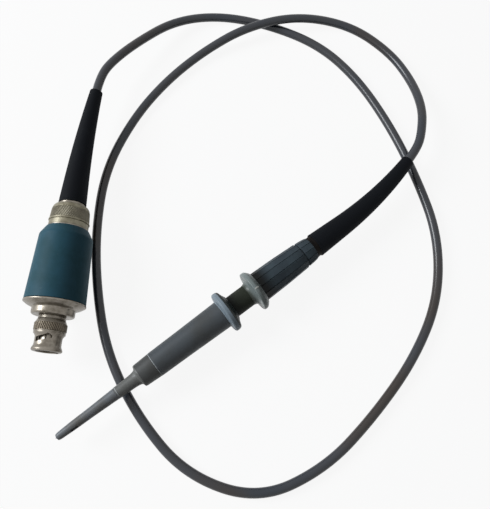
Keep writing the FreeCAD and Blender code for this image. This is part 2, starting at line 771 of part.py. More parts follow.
# Strain reliefs: straight where they grip the crimp, then an even curve. Sections stand square to it.
class Boot:
    """A tapered rubber sleeve that bends to one side, and the lead's end inside it."""

    def __init__(self, line, start, lead, arc, turn, base_dia, end_dia):
        self.line = line
        self.start = start
        self.lead = lead
        self.straight = size.ferrule_length + lead
        self.arc = arc
        self.turn = turn
        self.base_dia = base_dia
        self.end_dia = end_dia
        self.radius = arc / turn * (180 / math.pi)

    def station(self, share):
        """The place along, the place aside and the angle at a share of the arc."""
        angle = self.turn * share
        along = self.start + self.straight + self.radius * sine(angle)
        aside = self.radius * (1 - cosine(angle))
        return along, aside, angle

    def section(self, name, radius, share, along=None):
        """A circle square to the sleeve's centre line."""
        if along is None:
            along, aside, angle = self.station(share)
        else:
            aside, angle = Size.of(0), Size.of(0)
        circle = doc.addObject("Part::Circle", name)
        circle.Radius = radius.value
        circle.setExpression("Radius", radius.formula)
        upright = Rotation(Vector(0, 1, 0), 90)
        base = Vector(along.value, aside.value, 0)
        spin = Rotation(Vector(0, 0, 1), angle.value)
        circle.Placement = Placement(base, spin * upright)
        half_turn = "rotation(vector(0; 0; 1); " + angle.formula + ") * rotation(vector(0; 1; 0); 90)"
        where = "vector(" + along.formula + "; " + aside.formula + "; 0)"
        circle.setExpression("Placement", "placement(" + where + "; " + half_turn + ")")
        circle.Visibility = False
        return circle

    def loft(self, name, sections):
        """A solid through circles in a row, straight from each to the next."""
        solid = doc.addObject("Part::Loft", name)
        solid.Sections = sections
        solid.Solid = True
        solid.Ruled = True
        return solid

    def curve(self, name, radius):
        """The arc's stretch of a round rod of even thickness."""
        sections = [self.section(name + "_ring_" + str(step), radius, step / (PASSAGE_RINGS - 1))
                    for step in range(PASSAGE_RINGS)]
        return self.loft(name, sections)

    def make_sleeve(self, label):
        slope = (self.base_dia - self.end_dia) / 2 / (self.straight + self.arc)
        rings = [self.section(label + "_base", self.base_dia / 2, 0, self.start)]
        for step in range(SLEEVE_RINGS):
            share = step / (SLEEVE_RINGS - 1)
            radius = self.base_dia / 2 - slope * (self.straight + self.arc * share)
            rings.append(self.section(label + "_ring_" + str(step), radius, share))
        outer = self.loft(label + "_outer", rings)
        bore = size.cable_dia / 2 + size.boot_bore_gap
        passage = self.curve(label + "_passage", bore)
        crimp = doc.addObject("Part::Cylinder", label + "_crimp_bore")
        crimp.Radius = size.ferrule_dia.value / 2
        crimp.setExpression("Radius", (size.ferrule_dia / 2).formula)
        crimp.Height = size.ferrule_length.value
        crimp.setExpression("Height", size.ferrule_length.formula)
        self.stand(crimp, self.start)
        tools = [passage, crimp]
        link = doc.addObject("Part::Cylinder", label + "_link_bore")
        link.Radius = bore.value
        link.setExpression("Radius", bore.formula)
        link.Height = self.straight.value
        link.setExpression("Height", self.straight.formula)
        self.stand(link, self.start)
        tools.append(link)
        hollow = doc.addObject("Part::MultiFuse", label + "_hollow")
        hollow.Shapes = tools
        sleeve = doc.addObject("Part::Cut", label)
        sleeve.Base = outer
        sleeve.Tool = hollow
        self.finish(sleeve, label)

    def stand(self, rod_object, along):
        """Lay a cylinder along the line from one place on it."""
        rod_object.Placement = Placement(Vector(along.value, 0, 0), Rotation(Vector(0, 1, 0), 90))
        rod_object.setExpression("Placement.Base.x", along.formula)

    def make_cable_end(self, label, core_length):
        """The jacket from the crimp to the sleeve's end, and the core that goes on into the metal."""
        jacket = self.curve(label + "_jacket", size.cable_dia / 2)
        straight = doc.addObject("Part::Cylinder", label + "_straight")
        straight.Radius = size.cable_dia.value / 2
        straight.setExpression("Radius", (size.cable_dia / 2).formula)
        start = self.start + size.ferrule_length
        straight.Height = self.lead.value
        straight.setExpression("Height", self.lead.formula)
        self.stand(straight, start)
        core = doc.addObject("Part::Cylinder", label + "_core")
        core.Radius = size.cable_core_dia.value / 2
        core.setExpression("Radius", (size.cable_core_dia / 2).formula)
        core.Height = core_length.value
        core.setExpression("Height", core_length.formula)
        self.stand(core, start - core_length)
        lead = doc.addObject("Part::MultiFuse", label)
        lead.Shapes = [jacket, straight, core]
        self.finish(lead, label)

    def finish(self, item, label):
        item.Label = label
        self.line.place(item)
        pieces.append(item)

    def exit_point(self):
        along, aside, angle = self.station(1)
        return self.line.placement().multVec(Vector(along.value, aside.value, 0))


def make_ferrule(label, line, start):
    ferrule = Piece(label, line)
    ferrule.turned("ring", ring(start, start + size.ferrule_length, size.barb_dia / 2,
                                size.ferrule_dia / 2))


# Probe head, from the hook backwards
nose_tip_end = size.nose_tip_length
flare_start = nose_tip_end + size.nose_shank_length
collar_start = nose_tip_end + size.nose_base_length
cup_end = collar_start + size.nose_cup_length
sleeve_start = collar_start + size.collar_length
partition_start = sleeve_start + size.partition_at
partition_end = partition_start + size.partition_length
sleeve_rim_start = sleeve_start + size.sleeve_length
sleeve_rim_end = sleeve_rim_start + size.flange_rise + size.flange_rim
sleeve_end = sleeve_rim_end + size.sleeve_flare_length
core_front = cup_end + size.core_front_gap
ring_end = partition_start - size.face_gap
ring_start = ring_end - size.ring_length
core_shoulder = partition_end + size.spring_length
guard_start = sleeve_end + size.tip_travel + size.core_play
socket_start = cup_end
rod_end = socket_start + size.socket_depth
rod_start = rod_end - size.rod_length
rim_front = guard_start + size.guard_hub_length + size.guard_rise_length
rim_back = rim_front + size.guard_rim_length
guard_back = rim_back + size.guard_edge_length
guard_end = guard_back + size.guard_back_length
tube_spigot_start = guard_start - size.tube_spigot_length
pin_start = socket_start + size.socket_length - size.contact_pin_reach
pin_end = pin_start + size.contact_pin_length
divider_start = pin_end + size.lead_length
divider_end = divider_start + size.divider_length
grip_end = guard_end + size.grip_length
grip_nut_start = grip_end
grip_nut_end = grip_nut_start + size.grip_nut_length
gland_end = grip_nut_end + size.gland_length
probe_boot_start = gland_end


def make_hook():
    """A wire hook whose bend just shows in front of the nose, and the rod that holds its root."""
    hook = Piece("hook", probe_line)
    bend_middle = size.hook_bend + size.hook_wire_dia / 2 - size.hook_reach
    root_end = rod_start + size.hook_root
    path = hook.sketch("path")
    root = Vector(root_end.value, -size.hook_bend.value, 0)
    turn_in = Vector(bend_middle.value, -size.hook_bend.value, 0)
    turn_out = Vector(bend_middle.value, size.hook_bend.value, 0)
    front = Vector(bend_middle.value - size.hook_bend.value, 0, 0)
    tip = Vector(bend_middle.value + size.hook_return.value, size.hook_bend.value, 0)
    shank = path.addGeometry(Part.LineSegment(root, turn_in), False)
    arc = path.addGeometry(Part.Arc(turn_in, front, turn_out), False)
    back = path.addGeometry(Part.LineSegment(turn_out, tip), False)
    first = 1 if path.getPoint(arc, 1).distanceToPoint(turn_in) < 1e-6 else 2
    path.addConstraint(Sketcher.Constraint("Coincident", shank, 2, arc, first))
    path.addConstraint(Sketcher.Constraint("Coincident", back, 1, arc, 3 - first))
    for edge, corner, along, aside in (
            (shank, 1, root_end, -size.hook_bend), (shank, 2, bend_middle, -size.hook_bend),
            (back, 1, bend_middle, size.hook_bend),
            (back, 2, bend_middle + size.hook_return, size.hook_bend)):
        for kind, part in (("DistanceX", along), ("DistanceY", aside)):
            limit = path.addConstraint(Sketcher.Constraint(kind, -1, 1, edge, corner, part.value))
            path.setExpression("Constraints[%d]" % limit, part.formula)
    limit = path.addConstraint(Sketcher.Constraint("DistanceX", -1, 1, arc, 3, bend_middle.value))
    path.setExpression("Constraints[%d]" % limit, bend_middle.formula)
    section = hook.sketch("wire", "YZ_Plane", lift=root_end)
    wire = section.addGeometry(Part.Circle(Vector(0, -size.hook_bend.value, 0), Vector(0, 0, 1),
                                           size.hook_wire_dia.value / 2), False)
    section.addConstraint(Sketcher.Constraint("PointOnObject", wire, 3, -2))
    limit = section.addConstraint(Sketcher.Constraint("DistanceY", -1, 1, wire, 3,
                                                      -size.hook_bend.value))
    section.setExpression("Constraints[%d]" % limit, (-size.hook_bend).formula)
    limit = section.addConstraint(Sketcher.Constraint("Diameter", wire, size.hook_wire_dia.value))
    section.setExpression("Constraints[%d]" % limit, size.hook_wire_dia.formula)
    doc.recompute()
    pipe = hook.body.newObject("PartDesign::AdditivePipe", "hook_pipe")
    pipe.Profile = section
    pipe.Spine = (path, ["Edge1", "Edge2", "Edge3"])
    hook.body.Tip = pipe
    doc.recompute()
    carrier = Piece("hook_rod", probe_line)
    carrier.turned("rod", rod(rod_start, rod_end, size.rod_dia / 2))
    hole = carrier.sketch("wire_hole", "YZ_Plane", lift=rod_start)
    circle = hole.addGeometry(Part.Circle(Vector(0, -size.hook_bend.value, 0), Vector(0, 0, 1),
                                          size.hook_wire_dia.value / 2), False)
    hole.addConstraint(Sketcher.Constraint("PointOnObject", circle, 3, -2))
    limit = hole.addConstraint(Sketcher.Constraint("DistanceY", -1, 1, circle, 3, -size.hook_bend.value))
    hole.setExpression("Constraints[%d]" % limit, (-size.hook_bend).formula)
    limit = hole.addConstraint(Sketcher.Constraint("Diameter", circle, size.hook_wire_dia.value))
    hole.setExpression("Constraints[%d]" % limit, size.hook_wire_dia.formula)
    carrier.cut(hole, size.hook_root, backwards=True)


def make_nose():
    tip = Piece("nose_tip", probe_line)
    rod_bore = size.rod_dia / 2 + size.run_gap
    spigot = size.nose_spigot_dia / 2
    spigot_start = nose_tip_end - size.nose_spigot_length
    tip.turned("wall", [
        (0, size.nose_bore / 2), (0, size.nose_front_dia / 2),
        bend(size.nose_head_length, 1), (size.nose_head_length, size.nose_head_dia / 2),
        (size.nose_neck_at, size.nose_neck_dia / 2), (size.nose_waist_at, size.nose_waist_dia / 2),
        (nose_tip_end, size.nose_tip_dia / 2), (nose_tip_end, spigot), (spigot_start, spigot),
        (spigot_start, rod_bore), (size.nose_bore_length, rod_bore),
        (size.nose_bore_length, size.nose_bore / 2)])
    slot = tip.sketch("slot", "XZ_Plane")
    half = size.nose_slot_width / 2
    slot_end = size.nose_slot_at + size.nose_slot_length
    draw(slot, [(size.nose_slot_at, -half), (size.nose_slot_at, half), (slot_end, half),
                (slot_end, -half)])
    tip.cut(slot, size.nose_neck_dia, backwards=True)
    base = Piece("nose_base", probe_line)
    cup = size.nose_cup_dia / 2
    cup_out = cup + size.nose_cup_wall
    flare_knee = flare_start + size.flare_start_length
    flare_top = flare_knee + size.flare_rise_length
    base.turned("wall", [
        (spigot_start, rod_bore), (spigot_start, spigot), (nose_tip_end, spigot),
        (nose_tip_end, size.nose_tip_dia / 2), (flare_start, size.nose_shank_dia / 2),
        (flare_knee, size.flare_start_dia / 2), bend(size.flare_rise_round, -1),
        (flare_top, size.flare_dia / 2), (collar_start, size.flare_edge_dia / 2),
        (collar_start, cup_out), (cup_end, cup_out), (cup_end, cup), (collar_start, cup),
        (collar_start, rod_bore)])
    collar = Piece("nose_collar", probe_line)
    collar.turned("ring", [
        (collar_start, cup_out), (collar_start, size.collar_front_dia / 2),
        (sleeve_start, size.collar_rear_dia / 2), (sleeve_start, cup_out)])


def make_sleeve():
    sleeve = Piece("tip_sleeve", probe_line)
    cup_out = size.nose_cup_dia / 2 + size.nose_cup_wall
    front = size.sleeve_front_dia / 2
    stem_hole = size.core_stem_dia / 2 + size.run_gap
    rim = size.flange_dia / 2
    rim_start = sleeve_rim_start + size.flange_rise
    sleeve.turned("wall", [
        (sleeve_start, cup_out), (sleeve_start, front - size.sleeve_edge),
        (sleeve_start + size.sleeve_edge, front),
        (sleeve_start + size.sleeve_mid_at, size.sleeve_mid_dia / 2),
        (sleeve_rim_start, size.sleeve_rear_dia / 2),
        (sleeve_rim_start + size.flange_rise / 2, size.flange_edge_dia / 2),
        (rim_start, rim), (sleeve_rim_end, rim), bend(size.sleeve_flare_round, -1),
        (sleeve_end, size.sleeve_end_dia / 2), (sleeve_end, size.sleeve_bore / 2),
        (partition_end, size.sleeve_bore / 2), (partition_end, stem_hole), (partition_start, stem_hole),
        (partition_start, size.nose_cup_dia / 2), (cup_end, size.nose_cup_dia / 2), (cup_end, cup_out)])


def make_core():
    core = Piece("tip_core", probe_line)
    stem = size.core_stem_dia / 2
    seat = size.ring_seat_dia / 2
    body = size.core_dia / 2
    socket = size.socket_dia / 2
    chamber_start = socket_start + size.socket_length
    core.turned("wall", [
        (core_front, socket), (core_front, stem), (ring_start, stem), (ring_start, seat),
        (ring_end, seat), (ring_end, stem), (core_shoulder, stem), (core_shoulder, body),
        (guard_start, body), (guard_start, size.tube_spigot_dia / 2),
        (tube_spigot_start, size.tube_spigot_dia / 2), (tube_spigot_start, socket)])
    retainer = Piece("retaining_ring", probe_line)
    retainer.turned("ring", ring(ring_start, ring_end, seat, size.ring_dia / 2))
    holder = Piece("contact_socket", probe_line)
    holder.turned("tube", [
        (socket_start, size.rod_dia / 2), (socket_start, socket), (chamber_start, socket),
        (chamber_start, size.contact_pin_dia / 2), (pin_start, size.contact_pin_dia / 2), (pin_start, 0),
        (rod_end, 0), (rod_end, size.rod_dia / 2)])


def make_spring():
    """The compression spring between the sleeve's partition and the core's shoulder."""
    coil = doc.addObject("Part::Helix", "tip_spring_path")
    wire = size.spring_wire_dia
    height = size.spring_length - wire
    pitch = height / size.spring_turns
    for name, part in (("Height", height), ("Pitch", pitch), ("Radius", size.spring_dia / 2)):
        setattr(coil, name, part.value)
        coil.setExpression(name, part.formula)
    section = doc.addObject("Part::Circle", "tip_spring_wire")
    section.Radius = wire.value / 2
    section.setExpression("Radius", (wire / 2).formula)
    section.Placement = Placement(Vector(size.spring_dia.value / 2, 0, 0), Rotation(Vector(1, 0, 0), 90))
    section.setExpression("Placement.Base.x", (size.spring_dia / 2).formula)
    doc.recompute()
    spring = doc.addObject("Part::Sweep", "tip_spring")
    spring.Sections = [section]
    spring.Spine = (coil, ["Edge" + str(index + 1) for index in range(len(coil.Shape.Edges))])
    spring.Solid = True
    spring.Frenet = True
    doc.recompute()
    lay = Rotation(Vector(0, 1, 0), 90)
    start = partition_end + wire / 2
    place = probe_line.placement() * Placement(Vector(start.value, 0, 0), lay)
    spring.Label = "tip_spring"
    spring.Placement = place
    origin = "vector(" + "; ".join(part.formula for part in probe_line.origin) + ")"
    frame = "placement(" + origin + "; rotation(vector(0; 0; 1); " + probe_line.heading.formula + "))"
    inside = "placement(vector(" + start.formula + "; 0; 0); rotation(vector(0; 1; 0); 90))"
    spring.setExpression("Placement", frame + " * " + inside)
    pieces.append(spring)


def make_guard():
    guard = Piece("finger_guard", probe_line)
    rim = size.flange_dia / 2
    hub_end = guard_start + size.guard_hub_length
    guard.turned("wall", [
        (guard_start, size.tube_dia / 2), (guard_start, size.guard_hub_dia / 2),
        (hub_end, size.guard_hub_dia / 2), bend(size.guard_rise_round, -1), (rim_front, rim),
        (rim_back, rim), (guard_back, size.guard_edge_dia / 2), (guard_end, size.guard_back_dia / 2),
        (guard_end, size.tube_dia / 2)])


def make_body_tube():
    tube = Piece("body_tube", probe_line)
    bore = size.tube_bore / 2
    barb_end = gland_end + size.barb_length
    bore_end = grip_nut_end
    tube.turned("tube", [
        (tube_spigot_start, bore), (tube_spigot_start, size.tube_spigot_dia / 2),
        (guard_start, size.tube_spigot_dia / 2), (guard_start, size.tube_dia / 2),
        (gland_end, size.tube_dia / 2), (gland_end, size.barb_dia / 2), (barb_end, size.barb_dia / 2),
        (barb_end, size.barb_bore / 2), (bore_end, size.barb_bore / 2), (bore_end, bore)])
    insulator = Piece("front_insulator", probe_line)
    insulator.turned("sleeve", ring(tube_spigot_start, tube_spigot_start + size.insulator_length,
                                    size.contact_pin_dia / 2, bore))
    pin = Piece("contact_pin", probe_line)
    pin.turned("shaft", rod(pin_start, pin_end, size.contact_pin_dia / 2))
    resistor = Piece("attenuator_resistor", probe_line)
    lead = size.lead_dia / 2
    body = size.divider_resistor_dia / 2
    resistor.turned("body", [
        (pin_end, 0), (pin_end, lead), (divider_start, lead), (divider_start, body), (divider_end, body),
        (divider_end, lead), (divider_end + size.lead_length, lead), (divider_end + size.lead_length, 0)])
    capacitor = Piece("attenuator_capacitor", probe_line)
    capacitor.turned("tube", ring(divider_start, divider_end, body, bore))


def polygon_section(piece, name, along, diameter):
    """A regular polygon across the line at one place, with a corner where the grip's turn puts it."""
    sketch = piece.sketch(name, "YZ_Plane", lift=along)
    sides = int(size.grip_sides.value)
    radius = diameter / 2
    corners = []
    for index in range(sides):
        angle = size.grip_turn + 90 + Size.of(360 / sides) * index
        corners.append((radius * cosine(angle), radius * sine(angle)))
    draw(sketch, corners)
    return sketch


def faceted(piece, stations):
    """Loft a faceted sleeve through polygons, each given by its place and its width over corners."""
    sketches = [polygon_section(piece, "section_" + str(index), along, diameter)
                for index, (along, diameter) in enumerate(stations)]
    doc.recompute()
    loft = piece.body.newObject("PartDesign::AdditiveLoft", piece.body.Label + "_loft")
    loft.Profile = sketches[0]
    loft.Sections = sketches[1:]
    loft.Ruled = True
    piece.body.Tip = loft
    doc.recompute()
    grooves = piece.sketch("groove", "XZ_Plane", turn=size.grip_turn)
    floor = [(along, diameter / 2 - size.grip_groove_depth) for along, diameter in stations]
    outside = size.flange_dia / 2
    draw(grooves, floor + [(stations[-1][0], outside), (stations[0][0], outside)])
    groove_cut = piece.cut(grooves, size.grip_groove_width, both_sides=True)
    piece.repeat([groove_cut], size.grip_sides)


def bore_through(piece, start, end, radius):
    """Bore a round hole along the line."""
    sketch = piece.sketch("bore", "YZ_Plane", lift=start)
    circle = sketch.addGeometry(Part.Circle(Vector(0, 0, 0), Vector(0, 0, 1), radius.value), False)
    sketch.addConstraint(Sketcher.Constraint("Coincident", circle, 3, -1, 1))
    limit = sketch.addConstraint(Sketcher.Constraint("Radius", circle, radius.value))
    sketch.setExpression("Constraints[%d]" % limit, radius.formula)
    piece.cut(sketch, end - start, backwards=True)


def make_grip():
    grip = Piece("grip_body", probe_line)
    faceted(grip, [(guard_end, size.grip_front_dia), (guard_end + size.grip_mid_at, size.grip_mid_dia),
                   (grip_end, size.grip_rear_dia)])
    bore_through(grip, guard_end, grip_end, size.tube_dia / 2)
    nut = Piece("grip_nut", probe_line)
    neck_end = grip_nut_start + size.grip_nut_gap
    faceted(nut, [(neck_end, size.grip_nut_front_dia), (grip_nut_end, size.grip_nut_rear_dia)])
    bore_through(nut, neck_end, grip_nut_end, size.tube_dia / 2)
    nut.turned("neck", ring(grip_nut_start, neck_end, size.tube_dia / 2, size.grip_nut_neck_dia / 2))
    gland = Piece("gland_ring", probe_line)
    bore = size.tube_dia / 2
    gland.turned("ring", ring(grip_nut_end, gland_end, bore, bore + size.gland_wall))


def rounded_path(points):
    """Straight runs joined by tangent arcs as large as the runs allow, and the arcs' radii."""
    edges = []
    radii = []
    last = points[0]
    for before, corner, after in zip(points, points[1:], points[2:]):
        arrive = (corner - before).normalize()
        leave = (after - corner).normalize()
        turn = arrive.getAngle(leave)
        trim = ROUTE_ROUNDING * min((corner - before).Length, (after - corner).Length)
        radii.append(trim / math.tan(turn / 2))
        start = corner - arrive * trim
        end = corner + leave * trim
        inward = (leave - arrive).normalize()
        middle = corner + inward * (radii[-1] / math.cos(turn / 2) - radii[-1])
        edges.append(Part.LineSegment(last, start).toShape())
        edges.append(Part.Arc(start, middle, end).toShape())
        last = end
    edges.append(Part.LineSegment(last, points[-1]).toShape())
    return Part.Wire(edges), radii


def make_cable(box_boot, probe_boot):
    """The free lead, swept along its route from one strain relief to the other."""
    points = [box_boot.exit_point()] + [Vector(*point) for point in CABLE_ROUTE]
    points.append(probe_boot.exit_point())
    path, radii = rounded_path(points)
    radius = size.cable_dia.value / 2
    circle = Part.Wire(Part.makeCircle(radius, points[0], points[1] - points[0]))
    sweep = Part.BRepOffsetAPI.MakePipeShell(path)
    sweep.add(circle)
    sweep.build()
    sweep.makeSolid()
    cable = doc.addObject("Part::Feature", "cable")
    cable.Shape = sweep.shape()
    cable.Label = "cable"
    pieces.append(cable)
    print("cable length %.1f, smallest radius %.1f" % (path.Length, min(radii)))
    print("cable radii " + " ".join("%.0f" % value for value in radii))
    expected = math.pi * radius ** 2 * path.Length
    print("cable volume / section times length %.4f" % (cable.Shape.Volume / expected))


def export(folder):
    """Check every object and every piece, then write each piece to a file of its own."""
    for item in doc.Objects:
        if "Invalid" in item.State or "Error" in item.State:
            raise ValueError(item.Label + " failed: " + str(item.State))
    for piece in pieces:
        if piece.Shape.isNull() or not piece.Shape.isValid():
            raise ValueError(piece.Label + " has no valid shape")
    os.makedirs(folder, exist_ok=True)
    for piece in pieces:
        piece.Shape.exportStep(os.path.join(folder, piece.Label + ".step"))
    print("%d pieces" % len(pieces))


def make_probe():
    make_nut()
    make_shell()
    make_plug_inner_pieces()
    make_wave_washer()
    make_base()
    make_barrel()
    make_trimmer()
    make_stem_and_lock()
    make_ferrule("box_ferrule", box_line, box_boot_start)
    box_boot = Boot(box_line, box_boot_start, size.box_boot_lead, size.box_boot_arc,
                    size.box_boot_turn, size.box_boot_base_dia, size.box_boot_end_dia)
    box_boot.make_sleeve("box_boot")
    box_boot.make_cable_end("cable_end_box", size.box_core_length)
    make_hook()
    make_nose()
    make_sleeve()
    make_core()
    make_spring()
    make_guard()
    make_body_tube()
    make_grip()
    make_ferrule("probe_ferrule", probe_line, probe_boot_start)
    probe_boot = Boot(probe_line, probe_boot_start, size.probe_boot_lead, size.probe_boot_arc,
                      size.probe_boot_turn, size.probe_boot_base_dia, size.probe_boot_end_dia)
    probe_boot.make_sleeve("probe_boot")
    probe_boot.make_cable_end("cable_end_probe", size.probe_core_length)
    make_cable(box_boot, probe_boot)
    doc.recompute()
    export("parts")


make_probe()
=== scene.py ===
"""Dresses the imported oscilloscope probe: turned metal, moulded grips, rubber boots and the lead.

Sizes are real ones in millimetres, as stations along the axis of the box or of the probe and
as radii from it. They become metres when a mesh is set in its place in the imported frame.
"""

import logging
import math
from dataclasses import dataclass
from enum import Enum
from functools import cache
from typing import Any, Callable, Mapping, Sequence

import bmesh
import bpy
from mathutils import Matrix, Vector


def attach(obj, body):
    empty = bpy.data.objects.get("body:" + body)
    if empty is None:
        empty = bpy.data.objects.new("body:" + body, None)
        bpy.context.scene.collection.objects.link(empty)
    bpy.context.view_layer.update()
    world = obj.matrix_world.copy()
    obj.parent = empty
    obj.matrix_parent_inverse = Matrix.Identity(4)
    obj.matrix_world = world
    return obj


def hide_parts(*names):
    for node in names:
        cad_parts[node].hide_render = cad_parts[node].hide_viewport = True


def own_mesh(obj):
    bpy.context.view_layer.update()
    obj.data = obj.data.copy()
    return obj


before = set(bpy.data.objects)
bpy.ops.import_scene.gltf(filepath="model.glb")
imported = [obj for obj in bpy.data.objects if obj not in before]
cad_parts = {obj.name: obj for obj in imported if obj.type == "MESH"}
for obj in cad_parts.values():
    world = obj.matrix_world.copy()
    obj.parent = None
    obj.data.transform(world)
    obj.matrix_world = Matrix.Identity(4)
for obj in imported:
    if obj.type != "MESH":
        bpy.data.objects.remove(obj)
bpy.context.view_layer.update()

MM = 0.001
SHARP_EDGE = math.radians(35)
BOOT_SEAT = 6.0
BOOT_BORE = 2.25
FERRULE_BORE = 3.8
JACKET_RADIUS = 2.2
CORE_RADIUS = 1.3
LOG = logging.getLogger("probe")

Mesh = bpy.types.Mesh
Object = bpy.types.Object
Rings = Sequence[Sequence[Vector]]
Spots = Sequence[Sequence[float]]
Colour = tuple[float, float, float]


class Body(Enum):
    """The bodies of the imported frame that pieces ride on."""

    MAIN = "main"
    TIP = "tip_sleeve"
    NUT = "coupling_nut"
    BARREL = "barrel"
    LOCK_NUT = "lock_nut"


def shade(*levels: int) -> Colour:
    """Turns a colour as a screen shows it into the linear one that a shader takes.

    Args:
        *levels: Red, green and blue from 0 to 255.

    Returns:
        The linear colour.
    """
    parts = (level / 255 for level in levels)
    return tuple(part / 12.92 if part <= 0.04045 else ((part + 0.055) / 1.055) ** 2.4 for part in parts)


def two_terms(operation: str, swapped: bool = False) -> Callable[["Value", Any], "Value"]:
    """A method of Value that adds one Math node of two terms.

    Args:
        operation: The node's operation.
        swapped: Whether the other term comes first.

    Returns:
        The method.
    """
    def method(self: "Value", other: Any) -> "Value":
        """The result of the operation."""
        terms = (other, self) if swapped else (self, other)
        return self.graph.math(operation, *terms)

    return method


class Value:
    """A node's output as a number that Python arithmetic works on."""

    def __init__(self, graph: "Graph", socket: bpy.types.NodeSocket) -> None:
        """Keeps the socket and the graph that it belongs to."""
        self.graph = graph
        self.socket = socket

    __add__ = __radd__ = two_terms("ADD")
    __sub__ = two_terms("SUBTRACT")
    __rsub__ = two_terms("SUBTRACT", swapped=True)
    __mul__ = __rmul__ = two_terms("MULTIPLY")
    __truediv__ = two_terms("DIVIDE")
    __rtruediv__ = two_terms("DIVIDE", swapped=True)

    def wave(self) -> "Value":
        """A triangle wave of period one, from 0 to 1."""
        return self.graph.math("PINGPONG", self, 0.5) * 2

    def ramp(self, low: Any, high: Any) -> "Value":
        """A smooth step.

        Args:
            low: Where the step starts, at 0.
            high: Where it ends, at 1.

        Returns:
            The step.
        """
        sockets = {"Value": self, "From Min": low, "From Max": high}
        return self.graph.value("ShaderNodeMapRange", sockets, interpolation_type="SMOOTHSTEP")


class Graph:
    """A node tree that is filled from Python."""

    def __init__(self, tree: bpy.types.NodeTree) -> None:
        """Takes the tree and empties it."""
        self.tree = tree
        tree.nodes.clear()

    def node(self, kind: str, sockets: Mapping[Any, Any] | None = None,
             **settings: Any) -> bpy.types.Node:
        """Adds a node.

        Args:
            kind: The node's type.
            sockets: Values or links of its inputs, by name or number.
            **settings: Its own settings, set first.

        Returns:
            The node.
        """
        node = self.tree.nodes.new(kind)
        for key, setting in settings.items():
            setattr(node, key, setting)
        for key, given in (sockets or {}).items():
            if isinstance(given, Value):
                self.tree.links.new(given.socket, node.inputs[key])
            else:
                node.inputs[key].default_value = given
        return node

    def out(self, node: bpy.types.Node, name: str | int = 0) -> Value:
        """The named output of a node."""
        return Value(self, node.outputs[name])

    def value(self, kind: str, sockets: Mapping[Any, Any] | None = None, **settings: Any) -> Value:
        """Adds a node, as node does, and gives its first output."""
        return self.out(self.node(kind, sockets, **settings))

    def math(self, operation: str, *terms: Any) -> Value:
        """Adds one Math node.

        Args:
            operation: The node's operation.
            *terms: Its inputs in order, numbers or values.

        Returns:
            The result.
        """
        return self.value("ShaderNodeMath", dict(enumerate(terms)), operation=operation)

    def split(self, vector: Value) -> tuple[Value, Value, Value]:
        """The three parts of a vector."""
        node = self.node("ShaderNodeSeparateXYZ", {0: vector})
        return self.out(node, 0), self.out(node, 1), self.out(node, 2)

    def join(self, *parts: Any) -> Value:
        """A vector from three parts."""
        return self.value("ShaderNodeCombineXYZ", dict(enumerate(parts)))


class Pattern(Graph):
    """The node board of one material, in millimetres along an axis of the object."""

    def __init__(self, material: bpy.types.Material, axis: "Axis") -> None:
        """Sets up the coordinates.

        Args:
            material: The material whose nodes are filled.
            axis: The axis that the pattern lies along.
        """
        material.use_nodes = True
        super().__init__(material.node_tree)
        self.where = self.value("ShaderNodeMapping", {
            "Vector": self.out(self.node("ShaderNodeTexCoord"), "Object"),
            "Location": Vector(axis.origin) * MM,
            "Rotation": (0, 0, math.radians(axis.heading)),
            "Scale": (MM, MM, MM),
        }, vector_type="TEXTURE")
        self.along, self.side, self.up = self.split(self.where)

    def noise(self, size: float, detail: float = 2, sharp: float = 0.5,
              where: Value | None = None) -> Value:
        """Soft noise.

        Args:
            size: Its grain in millimetres.
            detail: Octaves.
            sharp: How strong the finer octaves are.
            where: Where it is read, if not on the plain coordinates.

        Returns:
            A value from about 0 to 1.
        """
        return self.value("ShaderNodeTexNoise", {
            "Vector": where or self.where, "Scale": 1 / size, "Detail": detail, "Roughness": sharp})

    def rings(self, pitch: float) -> Value:
        """Fine rings square to the axis, as a lathe tool leaves them."""
        return self.noise(1, 3, 0.7, self.join(self.along / pitch, self.side * 0.02, self.up * 0.02))

    def mix(self, share: Any, first: Any, second: Any) -> Value:
        """Mixes two colours.

        Args:
            share: Share of the second.
            first: A colour or value.
            second: A colour or value.

        Returns:
            The mixed colour.
        """
        first, second = (part if isinstance(part, Value) else (*part, 1) for part in (first, second))
        sockets = {0: share, 6: first, 7: second}
        return self.out(self.node("ShaderNodeMix", sockets, data_type="RGBA", clamp_factor=True), 2)

    def bump(self, height: Value, depth: float) -> Value:
        """A bump.

        Args:
            height: Height from 0 to 1.
            depth: The real height of 1, in millimetres.

        Returns:
            The normal.
        """
        return self.value("ShaderNodeBump", {"Strength": 1.0, "Distance": depth * MM, "Height": height})

    def finish(self, settings: Mapping[str, Any]) -> None:
        """Ends in one shader with the given sockets."""
        shader = self.value("ShaderNodeBsdfPrincipled", settings)
        self.node("ShaderNodeOutputMaterial", {"Surface": shader})


@dataclass(frozen=True)
class Axis:
    """A level line of the object: its stations run from origin towards heading."""

    origin: tuple[float, float, float]
    heading: float

    def matrix(self) -> Matrix:
        """From millimetres on the axis to metres in the frame."""
        turn = Matrix.Rotation(math.radians(self.heading), 4, "Z")
        return Matrix.Scale(MM, 4) @ Matrix.Translation(self.origin) @ turn


BOX_AXIS = Axis((-73.9, -47.37, 13.9), 90.0)
PROBE_AXIS = Axis((-64.1, -82.67, 10.2), 42.0)
WORLD_AXIS = Axis((0.0, 0.0, 0.0), 0.0)


